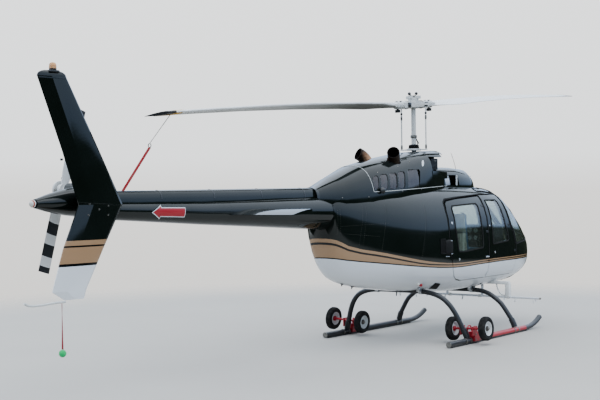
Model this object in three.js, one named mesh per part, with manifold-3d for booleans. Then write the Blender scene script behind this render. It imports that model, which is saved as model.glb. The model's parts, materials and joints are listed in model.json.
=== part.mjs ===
// Light single-rotor helicopter on high skids, five seats, with ground handling wheels fitted.
// Millimetres. +X to the nose, +Y to port, +Z up. x = 0 is the rotor mast until the last step,
// which moves everything so that the origin is under the middle of the bounding box.
import * as THREE from 'three';
import { mergeVertices } from 'three/addons/utils/BufferGeometryUtils.js';
import Module from 'manifold-3d';

const wasm = await Module();
wasm.setup();

// Main sizes
const ROTOR_RADIUS = 5080;
const ROTOR_HEIGHT = 3178;
const BLADE_CHORD = 330;
const TEETER = 4.55;
const TAIL_ROTOR_RADIUS = 825;
const TAIL_ROTOR = { x: -5960, y: 345, z: 2050, lean: 16 };
const FIN_END = -6720;
const TAIL_SKID_END = -6898;
const SKID_HALF_TRACK = 962;
const SKID_RADIUS = 36;
const SHOE_DEPTH = 8;
const WALL = 45;
const GLASS = 8;
const FIT = 0.4;
const DOOR_GAP = 6.5;
const CABIN_REAR = -400;
const SILL = 775;

// Colours as [red, green, blue], roughness and metalness
const PAINT = {
  green: [[0.016, 0.028, 0.022], 0.22, 0.0],
  white: [[0.78, 0.79, 0.79], 0.3, 0.0],
  black: [[0.02, 0.02, 0.022], 0.45, 0.0],
  red: [[0.5, 0.03, 0.04], 0.45, 0.0],
  lime: [[0.1, 0.55, 0.25], 0.8, 0.0],
  steel: [[0.35, 0.34, 0.33], 0.35, 0.9],
  exhaust: [[0.3, 0.18, 0.11], 0.5, 0.8],
  tyre: [[0.03, 0.03, 0.03], 0.9, 0.0],
  fabric: [[0.32, 0.31, 0.3], 0.9, 0.0],
  panel: [[0.08, 0.08, 0.085], 0.7, 0.0],
  trim: [[0.45, 0.44, 0.42], 0.8, 0.0],
  glass: [[0.55, 0.65, 0.66], 0.05, 0.0],
  lens: [[0.75, 0.74, 0.7], 0.1, 0.0],
  tinted: [[0.12, 0.3, 0.33], 0.05, 0.0],
};

const helicopter = new THREE.Group();
helicopter.name = 'helicopter';

// Turns any three.js geometry into an indexed closed one with its faces outwards
function tidy(geometry) {
  geometry.deleteAttribute('normal');
  geometry.deleteAttribute('uv');
  const merged = mergeVertices(geometry, 1e-3);
  const p = merged.attributes.position.array;
  const source = merged.index.array;
  const index = [];
  let volume = 0;
  for (let i = 0; i < source.length; i += 3) {
    const [a, b, c] = [source[i], source[i + 1], source[i + 2]];
    if (a === b || b === c || c === a) {
      continue;
    }
    index.push(a, b, c);
    const [u, v, w] = [a, b, c].map((k) => new THREE.Vector3(p[3 * k], p[3 * k + 1], p[3 * k + 2]));
    volume += u.dot(v.cross(w));
  }
  if (volume < 0) {
    index.reverse();
  }
  merged.setIndex(index);
  return merged;
}

function toManifold(geometry) {
  const mesh = new wasm.Mesh({
    numProp: 3,
    vertProperties: new Float32Array(geometry.attributes.position.array),
    triVerts: new Uint32Array(geometry.index.array),
  });
  return new wasm.Manifold(mesh);
}

function fromManifold(manifold) {
  const mesh = manifold.getMesh();
  const geometry = new THREE.BufferGeometry();
  geometry.setAttribute('position', new THREE.BufferAttribute(new Float32Array(mesh.vertProperties), 3));
  geometry.setIndex(Array.from(mesh.triVerts));
  return geometry;
}

function combine(method, first, others) {
  let result = toManifold(first);
  for (const other of others) {
    result = result[method](toManifold(other));
  }
  return fromManifold(result);
}
const join = (first, ...others) => combine('add', first, others);
const cut = (first, ...others) => combine('subtract', first, others);
const common = (first, ...others) => combine('intersect', first, others);

function add(name, geometry, paint) {
  const [rgb, roughness, metalness] = PAINT[paint];
  const material = new THREE.MeshStandardMaterial({ roughness, metalness });
  material.color.setRGB(...rgb);
  material.name = `${name}_${paint}`;
  const mesh = new THREE.Mesh(geometry, material);
  mesh.name = name;
  helicopter.add(mesh);
}

// Basic solids

function box(x0, x1, y0, y1, z0, z1) {
  const geometry = new THREE.BoxGeometry(x1 - x0, y1 - y0, z1 - z0);
  geometry.translate((x0 + x1) / 2, (y0 + y1) / 2, (z0 + z1) / 2);
  return tidy(geometry);
}

function extruded(outline, depth) {
  const shape = new THREE.Shape(outline.map(([u, v]) => new THREE.Vector2(u, v)));
  return new THREE.ExtrudeGeometry(shape, { depth, bevelEnabled: false, steps: 1 });
}

// Outline in x and z, pulled across from y0 to y1
function sidePrism(outline, y0, y1) {
  return tidy(extruded(outline, y1 - y0).rotateX(Math.PI / 2).translate(0, y1, 0));
}

// Outline in x and y, pulled up from z0 to z1
function planPrism(outline, z0, z1) {
  return tidy(extruded(outline, z1 - z0).translate(0, 0, z0));
}

// Skin over rings that all have the same number of points, with both ends closed
function skin(rings) {
  const count = rings[0].length;
  const points = rings.flat();
  const index = [];
  for (let r = 0; r + 1 < rings.length; r += 1) {
    for (let i = 0; i < count; i += 1) {
      const a = r * count + i;
      const b = r * count + ((i + 1) % count);
      index.push(a, b, b + count, a, b + count, a + count);
    }
  }
  for (const [r, flip] of [[0, true], [rings.length - 1, false]]) {
    const middle = new THREE.Vector3();
    rings[r].forEach((p) => middle.add(new THREE.Vector3(...p)));
    middle.divideScalar(count);
    const centre = points.length;
    points.push([middle.x, middle.y, middle.z]);
    for (let i = 0; i < count; i += 1) {
      const a = r * count + i;
      const b = r * count + ((i + 1) % count);
      index.push(...(flip ? [centre, b, a] : [centre, a, b]));
    }
  }
  const geometry = new THREE.BufferGeometry();
  geometry.setAttribute('position', new THREE.Float32BufferAttribute(points.flat(), 3));
  geometry.setIndex(index);
  return tidy(geometry);
}

// Round bar along a smooth curve; the inner radius makes it a pipe that is open at both ends
function pipe(curve, radius, sides, steps, innerRadius = 0) {
  const circle = (r) => Array.from({ length: sides }, (_, k) => {
    const turn = (2 * Math.PI * (k + 0.5)) / sides;
    return new THREE.Vector2(r * Math.cos(turn), r * Math.sin(turn));
  });
  const section = new THREE.Shape(circle(radius));
  if (innerRadius > 0) {
    section.holes.push(new THREE.Path(circle(innerRadius)));
  }
  return tidy(new THREE.ExtrudeGeometry(section, { extrudePath: curve, steps, bevelEnabled: false }));
}

function bar(points, radius, sides = 12, steps = 12) {
  const curve = new THREE.CatmullRomCurve3(points.map((p) => new THREE.Vector3(...p)), false, 'centripetal');
  return pipe(curve, radius, sides, steps);
}

// Turned solid: profile of [radius, height] about an axis through the point at
function turned(profile, axis, at, sides = 24, backwards = false) {
  const geometry = new THREE.LatheGeometry(profile.map(([r, h]) => new THREE.Vector2(r, h)), sides);
  if (axis === 'z') {
    geometry.rotateX(Math.PI / 2);
  }
  if (axis === 'x') {
    geometry.rotateZ(backwards ? Math.PI / 2 : -Math.PI / 2);
  }
  return tidy(geometry.translate(...at));
}

const rod = (radius, low, high, axis, at, sides = 24) =>
  turned([[0, low], [radius, low], [radius, high], [0, high]], axis, at, sides);

function mirrored(geometry) {
  return tidy(geometry.clone().scale(1, -1, 1));
}

function rotatedAbout(geometry, axis, degrees, at) {
  const back = new THREE.Matrix4().makeTranslation(...at);
  const turn = new THREE.Matrix4().makeRotationAxis(new THREE.Vector3(...axis), (degrees * Math.PI) / 180);
  const there = new THREE.Matrix4().makeTranslation(-at[0], -at[1], -at[2]);
  return tidy(geometry.clone().applyMatrix4(there).applyMatrix4(turn).applyMatrix4(back));
}

// Body sections: station x, bottom, top, half width, height of the widest line, and the powers
// that set how square the upper and lower halves are (2 is an ellipse)
const BODY = [
  [2890, 1000, 1125, 60, 1075, 2.0, 2.0],
  [2825, 905, 1208, 189, 1075, 2.1, 2.1],
  [2660, 800, 1348, 357, 1075, 2.2, 2.3],
  [2420, 705, 1503, 508, 1070, 2.4, 2.5],
  [2080, 647, 1748, 605, 1070, 2.65, 2.6],
  [1700, 625, 1988, 652, 1080, 2.85, 2.7],
  [1330, 608, 2050, 665, 1095, 2.95, 2.7],
  [800, 592, 2075, 668, 1115, 3.0, 2.75],
  [200, 606, 2085, 663, 1135, 3.0, 2.75],
  [-400, 655, 2075, 640, 1160, 2.85, 2.6],
  [-950, 712, 2035, 570, 1220, 3.0, 2.5],
  [-1450, 783, 2005, 460, 1320, 3.2, 2.4],
  [-1830, 870, 1985, 340, 1440, 3.3, 2.3],
  [-2020, 965, 1975, 280, 1540, 3.3, 2.2],
  [-2140, 1160, 1965, 240, 1640, 2.9, 2.1],
  [-2190, 1420, 1955, 212, 1720, 2.4, 2.0],
];
const BODY_POINTS = 32;
const BODY_STEPS = 2;

// One row of the body table at any station, on a smooth curve through the rows
function bodyAt(x) {
  const last = BODY.length - 1;
  let i = BODY.findIndex((row, k) => k < last && x <= row[0] && x >= BODY[k + 1][0]);
  i = i < 0 ? (x > BODY[0][0] ? 0 : last - 1) : i;
  const rows = [BODY[Math.max(i - 1, 0)], BODY[i], BODY[i + 1], BODY[Math.min(i + 2, last)]];
  const t = (x - rows[1][0]) / (rows[2][0] - rows[1][0]);
  return rows[1].map((value, k) => {
    if (k === 0) {
      return x;
    }
    const step = rows[2][0] - rows[1][0];
    const slopeIn = i === 0 ? 0 : ((rows[2][k] - rows[0][k]) / (rows[2][0] - rows[0][0])) * step;
    const slopeOut = ((rows[3][k] - rows[1][k]) / (rows[3][0] - rows[1][0])) * step;
    const start = i === 0 ? rows[2][k] - value : slopeIn;
    return (2 * t ** 3 - 3 * t ** 2 + 1) * value + (t ** 3 - 2 * t ** 2 + t) * start
      + (-2 * t ** 3 + 3 * t ** 2) * rows[2][k] + (t ** 3 - t ** 2) * slopeOut;
  });
}

// Ring of points of a squared oval at station x
function oval(x, bottom, top, half, widest, topPower, bottomPower, count = BODY_POINTS) {
  return Array.from({ length: count }, (_, k) => {
    const turn = (2 * Math.PI * k) / count;
    const [c, s] = [Math.cos(turn), Math.sin(turn)];
    const power = s >= 0 ? topPower : bottomPower;
    const y = half * Math.sign(c) * Math.abs(c) ** (2 / power);
    const reach = s >= 0 ? top - widest : widest - bottom;
    return [x, y, widest + reach * Math.sign(s) * Math.abs(s) ** (2 / power)];
  });
}

// Body between two stations, pulled in by inset on every side
function bodySolid(front, rear, inset = 0) {
  const stations = [front];
  for (let i = 0; i + 1 < BODY.length; i += 1) {
    for (let j = 0; j < BODY_STEPS; j += 1) {
      const x = BODY[i][0] + ((BODY[i + 1][0] - BODY[i][0]) * j) / BODY_STEPS;
      if (x < front - 5 && x > rear + 5) {
        stations.push(x);
      }
    }
  }
  stations.push(rear);
  return skin(stations.map((x) => {
    const [, bottom, top, half, widest, a, b] = bodyAt(x);
    return oval(x, bottom + inset, top - inset, half - inset, widest, a, b);
  }));
}

// Outline moved in by a distance on every side; the points go round the outline in order
function inset(outline, distance) {
  const area = outline.reduce((sum, [x, y], i) => {
    const [u, v] = outline[(i + 1) % outline.length];
    return sum + x * v - u * y;
  }, 0);
  const sign = area > 0 ? 1 : -1;
  const lines = outline.map(([x, y], i) => {
    const [u, v] = outline[(i + 1) % outline.length];
    const length = Math.hypot(u - x, v - y);
    const along = [(u - x) / length, (v - y) / length];
    return { p: [x - along[1] * sign * distance, y + along[0] * sign * distance], d: along };
  });
  return lines.map((line, i) => {
    const other = lines[(i + lines.length - 1) % lines.length];
    const cross = other.d[0] * line.d[1] - other.d[1] * line.d[0];
    const t = ((line.p[0] - other.p[0]) * line.d[1] - (line.p[1] - other.p[1]) * line.d[0]) / cross;
    return [other.p[0] + other.d[0] * t, other.p[1] + other.d[1] * t];
  });
}

// Openings in the cabin, as outlines in x and z seen from the side
const OPENINGS = {
  front_door: [[897, SILL], [1700, SILL], [1742, 820], [1755, 1190], [1672, 1362], [1575, 1545], [1545, 1730],
    [1540, 1880], [1492, 1935], [897, 1932]],
  front_window: [[1012, 1262], [1030, 1245], [1476, 1270], [1505, 1290], [1478, 1391], [1430, 1493],
    [1403, 1659], [1390, 1815], [1352, 1851], [1012, 1851]],
  rear_door: [[190, SILL], [877, SILL], [877, 1931], [190, 1898], [-95, 1874], [-148, 1842], [-174, 1765],
    [-174, 1400], [-122, 1041], [-85, 936], [-10, 846], [80, 797]],
  rear_window: [[42, 1195], [75, 1180], [214, 1179], [700, 1206], [720, 1240], [700, 1560], [706, 1785],
    [680, 1809], [380, 1801], [20, 1785], [-10, 1755], [-8, 1450]],
  windshield: [[1784, 1212], [2100, 1238], [2330, 1252], [2560, 1400], [3000, 1400], [3000, 2500],
    [1610, 2500], [1590, 1960], [1592, 1730], [1620, 1545], [1710, 1375]],
};
// Outlines that trim the doors further along the top and the rear edge, so that the curved leaves
// swing clear of the frame
const DOOR_TRIM = {
  front_door: [[909, 600], [909, 790], [904, 980], [904, 1500], [909, 1700], [917, 1830], [927, 1950],
    [2000, 1950], [2000, 600]],
  rear_door: [[230, 600], [230, 785], [190, 789], [85, 811], [-1, 858], [-74, 944], [-111, 1046],
    [-160, 1400], [-162, 1500], [-155, 1740], [-126, 1820], [-76, 1850], [190, 1878], [870, 1910],
    [890, 600]],
};
// Openings in the roof and the chin, as outlines in x and y seen from above
const ROOF_WINDOW = [[1010, 340], [1250, 322], [1390, 225], [1470, 110], [1530, 110], [1530, 370],
  [1490, 400], [1010, 412]];
const CHIN_WINDOW = [[1960, 110], [2470, 110], [2440, 240], [2290, 340], [1960, 400]];
const WINDSHIELD_POST = 24;
const FAR = 1200;

// Cabin shell
const outer = bodySolid(BODY[0][0], CABIN_REAR);
const INNER_FRONT = 2750;
const hollow = bodySolid(INNER_FRONT, CABIN_REAR - 50, WALL);
const shell = cut(outer, hollow);
const glassShell = cut(outer, bodySolid(2860, CABIN_REAR - 50, GLASS));
const both = (outline) => sidePrism(outline, -FAR, FAR);
const onSide = (outline, side) => sidePrism(outline, side > 0 ? 60 : -FAR, side > 0 ? FAR : -60);
const flipPlan = (outline) => outline.map(([x, y]) => [x, -y]);

const frontHalf = (side, inward) => (side > 0
  ? box(1500, 3000, WINDSHIELD_POST + inward, FAR, 1200, 2600)
  : box(1500, 3000, -FAR, -WINDSHIELD_POST - inward, 1200, 2600));
const windshieldCut = (side, shrink) => common(
  sidePrism(inset(OPENINGS.windshield, shrink), -FAR, FAR), frontHalf(side, shrink));

const cabinOpenings = [
  both(OPENINGS.front_door),
  both(OPENINGS.rear_door),
  windshieldCut(1, 0),
  windshieldCut(-1, 0),
  planPrism(ROOF_WINDOW, 1900, 2400),
  planPrism(flipPlan(ROOF_WINDOW), 1900, 2400),
  planPrism(CHIN_WINDOW, 500, 1000),
  planPrism(flipPlan(CHIN_WINDOW), 500, 1000),
];
// The floor is one block with the hull under it
const floorBlock = box(CABIN_REAR - 100, 2250, -FAR, FAR, 400, SILL - 20);
// Landing gear tubes that cross under the floor: place along the body, how far the arch leans back for
// its height, and half of its line from the middle to the foot as [y, z]
const TUBE_RADIUS = 33;
const TUBE_SIDES = 10;
const TUBE_STEPS = 44;
const FOOT = [[897, 205], [925, 148], [945, 96]];
const TUBES = [
  ['front', 1080, 0.12, [[0, 585], [320, 583], [480, 570], [600, 530], [686, 469], [745, 425], [808, 344],
    [856, 268], ...FOOT]],
  ['rear', -290, 0.235, [[0, 674], [300, 671], [420, 662], [520, 645], [598, 620], [669, 583], [750, 505],
    [809, 414], [853, 320], ...FOOT]],
];
const legPoint = (x, lean, side, [y, z]) => [x - lean * (z - FOOT[2][1]), side * y, z];
const archSolid = (x, lean, half, grow = 0) => bar([
  ...half.slice(1).reverse().map((p) => legPoint(x, lean, -1, p)),
  ...half.map((p) => legPoint(x, lean, 1, p)),
], TUBE_RADIUS + grow, TUBE_SIDES, TUBE_STEPS);
const grooves = TUBES.map(([, x, lean, half]) => archSolid(x, lean, half, FIT));
const frame = cut(outer, cut(hollow, floorBlock), ...cabinOpenings, ...grooves);
// The lower hull takes everything below the sill and the whole nose below the windshield
const HULL_SPLIT = { x: 1800, z: 1600 };
const LOWER = [[-500, 400], [3000, 400], [3000, HULL_SPLIT.z], [HULL_SPLIT.x, HULL_SPLIT.z],
  [HULL_SPLIT.x, SILL], [-500, SILL]];
const UPPER = [[-500, SILL + FIT], [HULL_SPLIT.x - FIT, SILL + FIT], [HULL_SPLIT.x - FIT, HULL_SPLIT.z + FIT],
  [3000, HULL_SPLIT.z + FIT], [3000, 2600], [-500, 2600]];
add('lower_hull', common(frame, both(LOWER)), 'white');
add('cabin_top', common(frame, both(UPPER)), 'green');

for (const [side, label] of [[1, 'left'], [-1, 'right']]) {
  add(`windshield_${label}`, common(glassShell, windshieldCut(side, FIT)), 'glass');
  const roof = inset(ROOF_WINDOW, FIT);
  const chin = inset(CHIN_WINDOW, FIT);
  add(`roof_window_${label}`,
    common(glassShell, planPrism(side > 0 ? roof : flipPlan(roof), 1900, 2400)), 'tinted');
  add(`chin_window_${label}`,
    common(glassShell, planPrism(side > 0 ? chin : flipPlan(chin), 500, 1000)), 'tinted');
  for (const place of ['front', 'rear']) {
    const leaf = common(shell, onSide(inset(OPENINGS[`${place}_door`], DOOR_GAP), side),
      onSide(DOOR_TRIM[`${place}_door`], side));
    const window = onSide(OPENINGS[`${place}_window`], side);
    const pane = onSide(inset(OPENINGS[`${place}_window`], FIT), side);
    add(`${place}_door_${label}`, cut(leaf, window), 'green');
    add(`${place}_door_glass_${label}`, common(glassShell, pane), 'glass');
  }
}

// Cabin furniture
const FLOOR = SILL - 20 + FIT;
const SEAT_SIDE = 480;
const BENCH_SIDE = 440;
const SEAT_INNER = 110;
const frontSeat = [[620, 1140], [560, 1690], [640, 1720], [760, 1160], [1180, 1180], [1200, 1110],
  [1180, 1060], [1150, FLOOR], [700, FLOOR], [640, 1060]];
const leftSeat = sidePrism(frontSeat, SEAT_INNER, SEAT_SIDE);
add('front_seat_left', leftSeat, 'fabric');
add('front_seat_right', mirrored(leftSeat), 'fabric');
const rearSeat = [[-350, FLOOR], [190, FLOOR], [200, 1110], [180, 1180], [-180, 1150], [-300, 1720],
  [-380, 1700], [-385, 1100]];
const insideCabin = bodySolid(INNER_FRONT, CABIN_REAR - 50, WALL + FIT);
add('rear_bench', common(sidePrism(rearSeat, -BENCH_SIDE, BENCH_SIDE), insideCabin), 'fabric');
const divider = join(
  box(470, 545, -SEAT_SIDE, SEAT_SIDE, FLOOR, 1420),
  box(440, 545, -95, 95, FLOOR, 2020));
add('control_divider', divider, 'trim');
const console = join(
  box(1700, 2120, -110, 110, FLOOR, 1240),
  sidePrism([[1740, 1200], [1800, 1480], [2080, 1480], [2110, 1200]], -270, 270));
add('instrument_console', console, 'panel');

// Rear body behind the cabin, hollow round the baggage bay, and the bay's door on the port side
const BAGGAGE = { x0: -1310, x1: -680, z0: 990, z1: 1510, back: -300, depth: 340, floor: 960, wall: 20 };
const BODY_END = -2190;
const SKIN = 32;
const rearOuter = bodySolid(CABIN_REAR - FIT, BODY_END);
const BAY_DOOR = [[BAGGAGE.x0, BAGGAGE.z0], [BAGGAGE.x1, BAGGAGE.z0], [BAGGAGE.x1, BAGGAGE.z1],
  [BAGGAGE.x0, BAGGAGE.z1]];
const bayBox = (grow) => box(BAGGAGE.x0 - 40 - grow, BAGGAGE.x1 + 40 + grow, BAGGAGE.back - grow,
  BAGGAGE.depth + grow, BAGGAGE.floor - grow, BAGGAGE.z1 + 30 + grow);
const rearHollow = cut(
  bodySolid(CABIN_REAR - SKIN, BODY_END + 2 * SKIN, SKIN),
  bayBox(BAGGAGE.wall), sidePrism(inset(BAY_DOOR, -BAGGAGE.wall), 200, FAR));
const deckHatch = box(-1750, -1600, -120, 120, 1850, 2200);
add('rear_body', cut(
  rearOuter, rearHollow, bayBox(0), sidePrism(BAY_DOOR, 200, FAR), deckHatch, grooves[1]), 'green');
const rearInner = bodySolid(CABIN_REAR - SKIN, BODY_END + 200, SKIN - 2);
add('baggage_door',
  common(cut(rearOuter, rearInner), sidePrism(inset(BAY_DOOR, DOOR_GAP), 200, FAR)), 'green');

// Tail boom, a thin tube: station x, centre height, radius
const BOOM = [
  [-2190 - FIT, 1748, 208],
  [-3400, 1775, 163],
  [-4400, 1797, 128],
  [-5550, 1838, 95],
  [-5800, 1850, 92],
];
const BOOM_POINTS = 24;
const BOOM_WALL = 16;
const ringAt = ([x, z, r], grow = 0) => oval(x, z - r - grow, z + r + grow, r + grow, z, 2, 2, BOOM_POINTS);
const boomGrown = skin(BOOM.map((row) => ringAt(row, FIT)));
const boomInner = skin(BOOM.map(([x, z, r], i) => {
  const past = [i === 0 ? 20 : 0, i === BOOM.length - 1 ? 20 : 0];
  return ringAt([x + past[0] - past[1], z, r], -BOOM_WALL);
}));
add('tail_boom', cut(skin(BOOM.map((row) => ringAt(row))), boomInner), 'green');

// Cowlings on the roof: station x, bottom, top, half width, power of the upper corners
const FORWARD_ROWS = [
  [1330, 2000, 2150, 170, 2.6],
  [1260, 2000, 2240, 240, 2.8],
  [1080, 2000, 2305, 290, 3.0],
  [700, 2000, 2325, 310, 3.2],
  [200 + FIT, 2000, 2325, 320, 3.2],
];
const COWL_ROWS = [
  [300, 1950, 2548, 345, 5.2],
  [-100, 1950, 2530, 400, 4.4],
  [-400, 1950, 2500, 418, 3.3],
  [-1000, 1930, 2425, 405, 2.6],
  [-1545, 1900, 2328, 352, 2.5],
  [-2000, 1880, 2170, 252, 2.8],
  [-2400, 1850, 2035, 120, 4.0],
];
const COWL_POINTS = 28;
const COWL_SEAM = -1545;
const COWL_WALL = 22;
function cowlSolid(rows, pull = 0, drop = 0) {
  return skin(rows.map(([x, bottom, top, half, power]) =>
    oval(x, bottom - 100 - drop, top - pull, half - pull, bottom - 50, power, 2, COWL_POINTS)));
}
// The same rows with the first and last stations moved inwards
const shortened = (rows, front, rear) => rows.map(([x, ...rest], i) => {
  const moved = i === 0 ? x - front : x;
  return [i === rows.length - 1 ? moved + rear : moved, ...rest];
});
const deck = bodySolid(BODY[0][0], BODY_END, -FIT);
const cowlBody = cowlSolid(COWL_ROWS);
const cowlHollow = cowlSolid(shortened(COWL_ROWS, 122, 240), COWL_WALL, 200);
const ahead = sidePrism([[200, 1700], [200, 2335], [285, 2335], [205, 2470], [195, 2700], [COWL_SEAM, 2700],
  [COWL_SEAM, 1700]], -FAR, FAR);
const behind = box(-2500, COWL_SEAM - FIT, -FAR, FAR, 1700, 2700);
const frontWall = box(178, 300, -FAR, FAR, 1700, 2700);
const rearWall = box(COWL_SEAM, COWL_SEAM + COWL_WALL, -FAR, FAR, 1700, 2700);

// Exhaust pipes that rise from the engine and turn out and back
const STACK = { radius: 80, wall: 6, hole: 92, foot: [-820, 188, 2258], knee: [-832, 204, 2436],
  mouth: [-958, 274, 2496] };
const stackCurve = (side) => new THREE.QuadraticBezierCurve3(
  ...[STACK.foot, STACK.knee, STACK.mouth].map(([x, y, z]) => new THREE.Vector3(x, side * y, z)));
const stackHole = (side) => common(
  pipe(stackCurve(side), STACK.hole, 16, 8), box(-1200, -500, -FAR, FAR, 2254, 2700));

const MAST_RADIUS = 32;
const mastHole = rod(95, 2300, 2700, 'z', [0, 0, 0]);
const INTAKE = { rear: -170, low: 2170, high: 2455, inner: 190, lining: 14 };
const intakeMouth = (side, grow) => {
  const [near, far] = [INTAKE.inner - grow, FAR].map((y) => side * y);
  return box(INTAKE.rear - grow, 400, Math.min(near, far), Math.max(near, far),
    INTAKE.low - grow, INTAKE.high + grow);
};
// Side grille of the cowl: rear edge, front edge, bottom and top of each pane, with ribs left between
const GRILLE = [
  [-1528, -1424, 2022, 2196],
  [-1384, -1246, 2026, 2216],
  [-1206, -1058, 2030, 2234],
  [-1030, -888, 2034, 2252],
  [-820, -548, 2042, 2282],
];
const GRILLE_CORNER = 22;
const GRILLE_LEAN = 0.28;
const grillePanes = GRILLE.map(([rear, front, low, high]) => sidePrism([
  [rear + GRILLE_CORNER, low], [front - GRILLE_CORNER, low], [front, low + GRILLE_CORNER],
  [front, high - GRILLE_CORNER], [front - GRILLE_CORNER, high], [rear + GRILLE_CORNER, high - 6],
  [rear, high - 6 - GRILLE_CORNER], [rear, low + GRILLE_CORNER],
].map(([x, z]) => [x + (z - low) * GRILLE_LEAN, z]), -FAR, FAR));
const engineCowl = cut(
  join(
    common(cut(cowlBody, cowlHollow), ahead),
    common(cowlBody, frontWall, ahead), common(cowlBody, rearWall),
    common(cowlBody, intakeMouth(1, INTAKE.lining), ahead),
    common(cowlBody, intakeMouth(-1, INTAKE.lining), ahead)),
  deck, mastHole, stackHole(1), stackHole(-1), intakeMouth(1, 0), intakeMouth(-1, 0), ...grillePanes);
add('engine_cowl', engineCowl, 'green');
add('rear_fairing', cut(common(cowlBody, behind), cowlHollow, deck, boomGrown), 'green');

// Fairing ahead of the mast, with an open bay on each side
const FAIRING_BAY = { rear: 450, front: 700, low: 2068, high: 2212, inner: 215 };
const fairingBay = (side) => box(FAIRING_BAY.rear, FAIRING_BAY.front,
  Math.min(side * FAIRING_BAY.inner, side * FAR), Math.max(side * FAIRING_BAY.inner, side * FAR),
  FAIRING_BAY.low, FAIRING_BAY.high);
add('forward_fairing', cut(
  cowlSolid(FORWARD_ROWS), cowlSolid(shortened(FORWARD_ROWS, COWL_WALL, 0), COWL_WALL, 200), deck,
  fairingBay(1), fairingBay(-1)), 'green');

add('engine_block', cut(box(-1400, -420, -170, 170, 1900, 2250), deck), 'steel');
add('transmission_block', cut(box(-230, 176, -170, 170, 1900, 2430), deck), 'steel');
for (const [side, label] of [[1, 'left'], [-1, 'right']]) {
  add(`exhaust_${label}`, pipe(stackCurve(side), STACK.radius, 16, 8, STACK.radius - STACK.wall), 'exhaust');
}

// Cover over the tail rotor's shaft, open towards the boom, and the cone at the boom's end
const COVER = [
  [-2150, 1880, 2052, 95],
  [-3400, 1880, 2046, 88],
  [-4400, 1880, 2040, 82],
  [-5550, 1880, 2034, 70],
  [-5790, 1880, 2034, 70],
];
const COVER_WALL = 14;
const coverSolid = (grow, ends) => skin(COVER.map(([x, bottom, top, half], i) => {
  const end = i === 0 ? ends : i === COVER.length - 1 ? -ends : 0;
  return oval(x - end, bottom - 60, top + grow, half + grow, bottom, 3, 2, 20);
}));
add('shaft_cover', cut(coverSolid(0, 0), boomGrown, deck, cowlSolid(COWL_ROWS, -FIT),
  coverSolid(-COVER_WALL, 2 * COVER_WALL)), 'green');
const CONE = [
  [-5800 - FIT, 1925, 128],
  [-5900, 1933, 144],
  [-6080, 1936, 145],
  [-6250, 1931, 122],
  [-6450, 1925, 80],
  [-6590, 1922, 42],
];
const CONE_WALL = 14;
const coneRows = [[CONE[0][0] + 30, 1925, 128], ...CONE.slice(1, -1)];
const coneInner = skin(coneRows.map((row) => ringAt(row, -CONE_WALL)));
add('tail_cone', cut(skin(CONE.map((row) => ringAt(row))), coneInner), 'green');
add('tail_lamp', turned([[0, 0], [34, 0], [34, 10], [28, 26], [22, 40], [10, 50], [0, 52]], 'x',
  [CONE[CONE.length - 1][0] - FIT, 0, 1922], 16, true), 'lens');

// Stabilizer halves: swept edges from the boom to the tip, with a thin rounded section
const STABILIZER = { front: -3670, rear: -4040, z: 1808, tip: 985, thick: 42, incidence: -7 };
const WING = [[0, 0], [0.02, 0.3], [0.1, 0.44], [0.3, 0.5], [0.6, 0.4], [0.85, 0.2], [1, 0.05]];
const wingSection = [...WING.map(([t, h]) => [t, h]), ...WING.slice(1).reverse().map(([t, h]) => [t, -h])];
const stabRing = (y, scale) => wingSection.map(([t, h]) => [
  STABILIZER.front + (STABILIZER.rear - STABILIZER.front) * (0.5 + (t - 0.5) * scale), y,
  STABILIZER.z + h * STABILIZER.thick * scale]);
const stabHalf = rotatedAbout(
  skin([stabRing(20, 1), stabRing(960, 1), stabRing(STABILIZER.tip, 0.9)]),
  [0, 1, 0], STABILIZER.incidence, [STABILIZER.front, 0, STABILIZER.z]);
add('stabilizer_left', cut(stabHalf, boomGrown), 'green');
add('stabilizer_right', cut(mirrored(stabHalf), boomGrown), 'green');

// Fin on the starboard side of the boom: height, leading edge x, trailing edge x, thickness
const FIN_Y = -212;
const FIN = [
  [1045, -6215, -6440, 50],
  [1125, -6185, -6580, 60],
  [1500, -5965, -6450, 78],
  [1905, -5715, -6255, 92],
  [2400, -6000, -6440, 80],
  [3064, -6392, FIN_END, 60],
  [3082, -6398, -6714, 57],
  [3097, -6412, -6698, 50],
  [3108, -6436, -6672, 40],
  [3115, -6464, -6640, 27],
  [3118, -6500, -6600, 14],
];
const FIN_WEDGE = 150;
const FIN_SECTION = [[0, 0], [0.03, 0.3], [0.12, 0.45], [0.4, 0.5], [1, 0.42]];
const finRing = ([z, lead, trail, thick]) => {
  const crease = Math.min(trail + FIN_WEDGE, (lead + trail) / 2);
  const half = FIN_SECTION.map(([t, h]) => [lead + (crease - lead) * t, h * thick]);
  half.push([trail, 0.07 * thick]);
  return [
    ...half.map(([x, y]) => [x, FIN_Y + y, z]),
    ...half.slice(1).reverse().map(([x, y]) => [x, FIN_Y - y, z]),
  ];
};
const cone = skin(CONE.map((row) => ringAt(row, FIT)));
add('fin', cut(skin(FIN.map(finRing)), cone, boomGrown), 'green');
const BEACON_X = -6540;
add('beacon', turned([[0, 3120], [28, 3120], [35, 3127], [35, 3144], [30, 3172], [16, 3190], [0, 3195]],
  'z', [BEACON_X, FIN_Y, 0], 16), 'red');
add('tail_skid', bar([[-6430, FIN_Y, 1030], [-6560, FIN_Y, 1030], [-6700, FIN_Y, 1022], [-6860, FIN_Y, 1030],
  [TAIL_SKID_END, FIN_Y, 1052]], 11, 8, 10), 'white');

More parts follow.
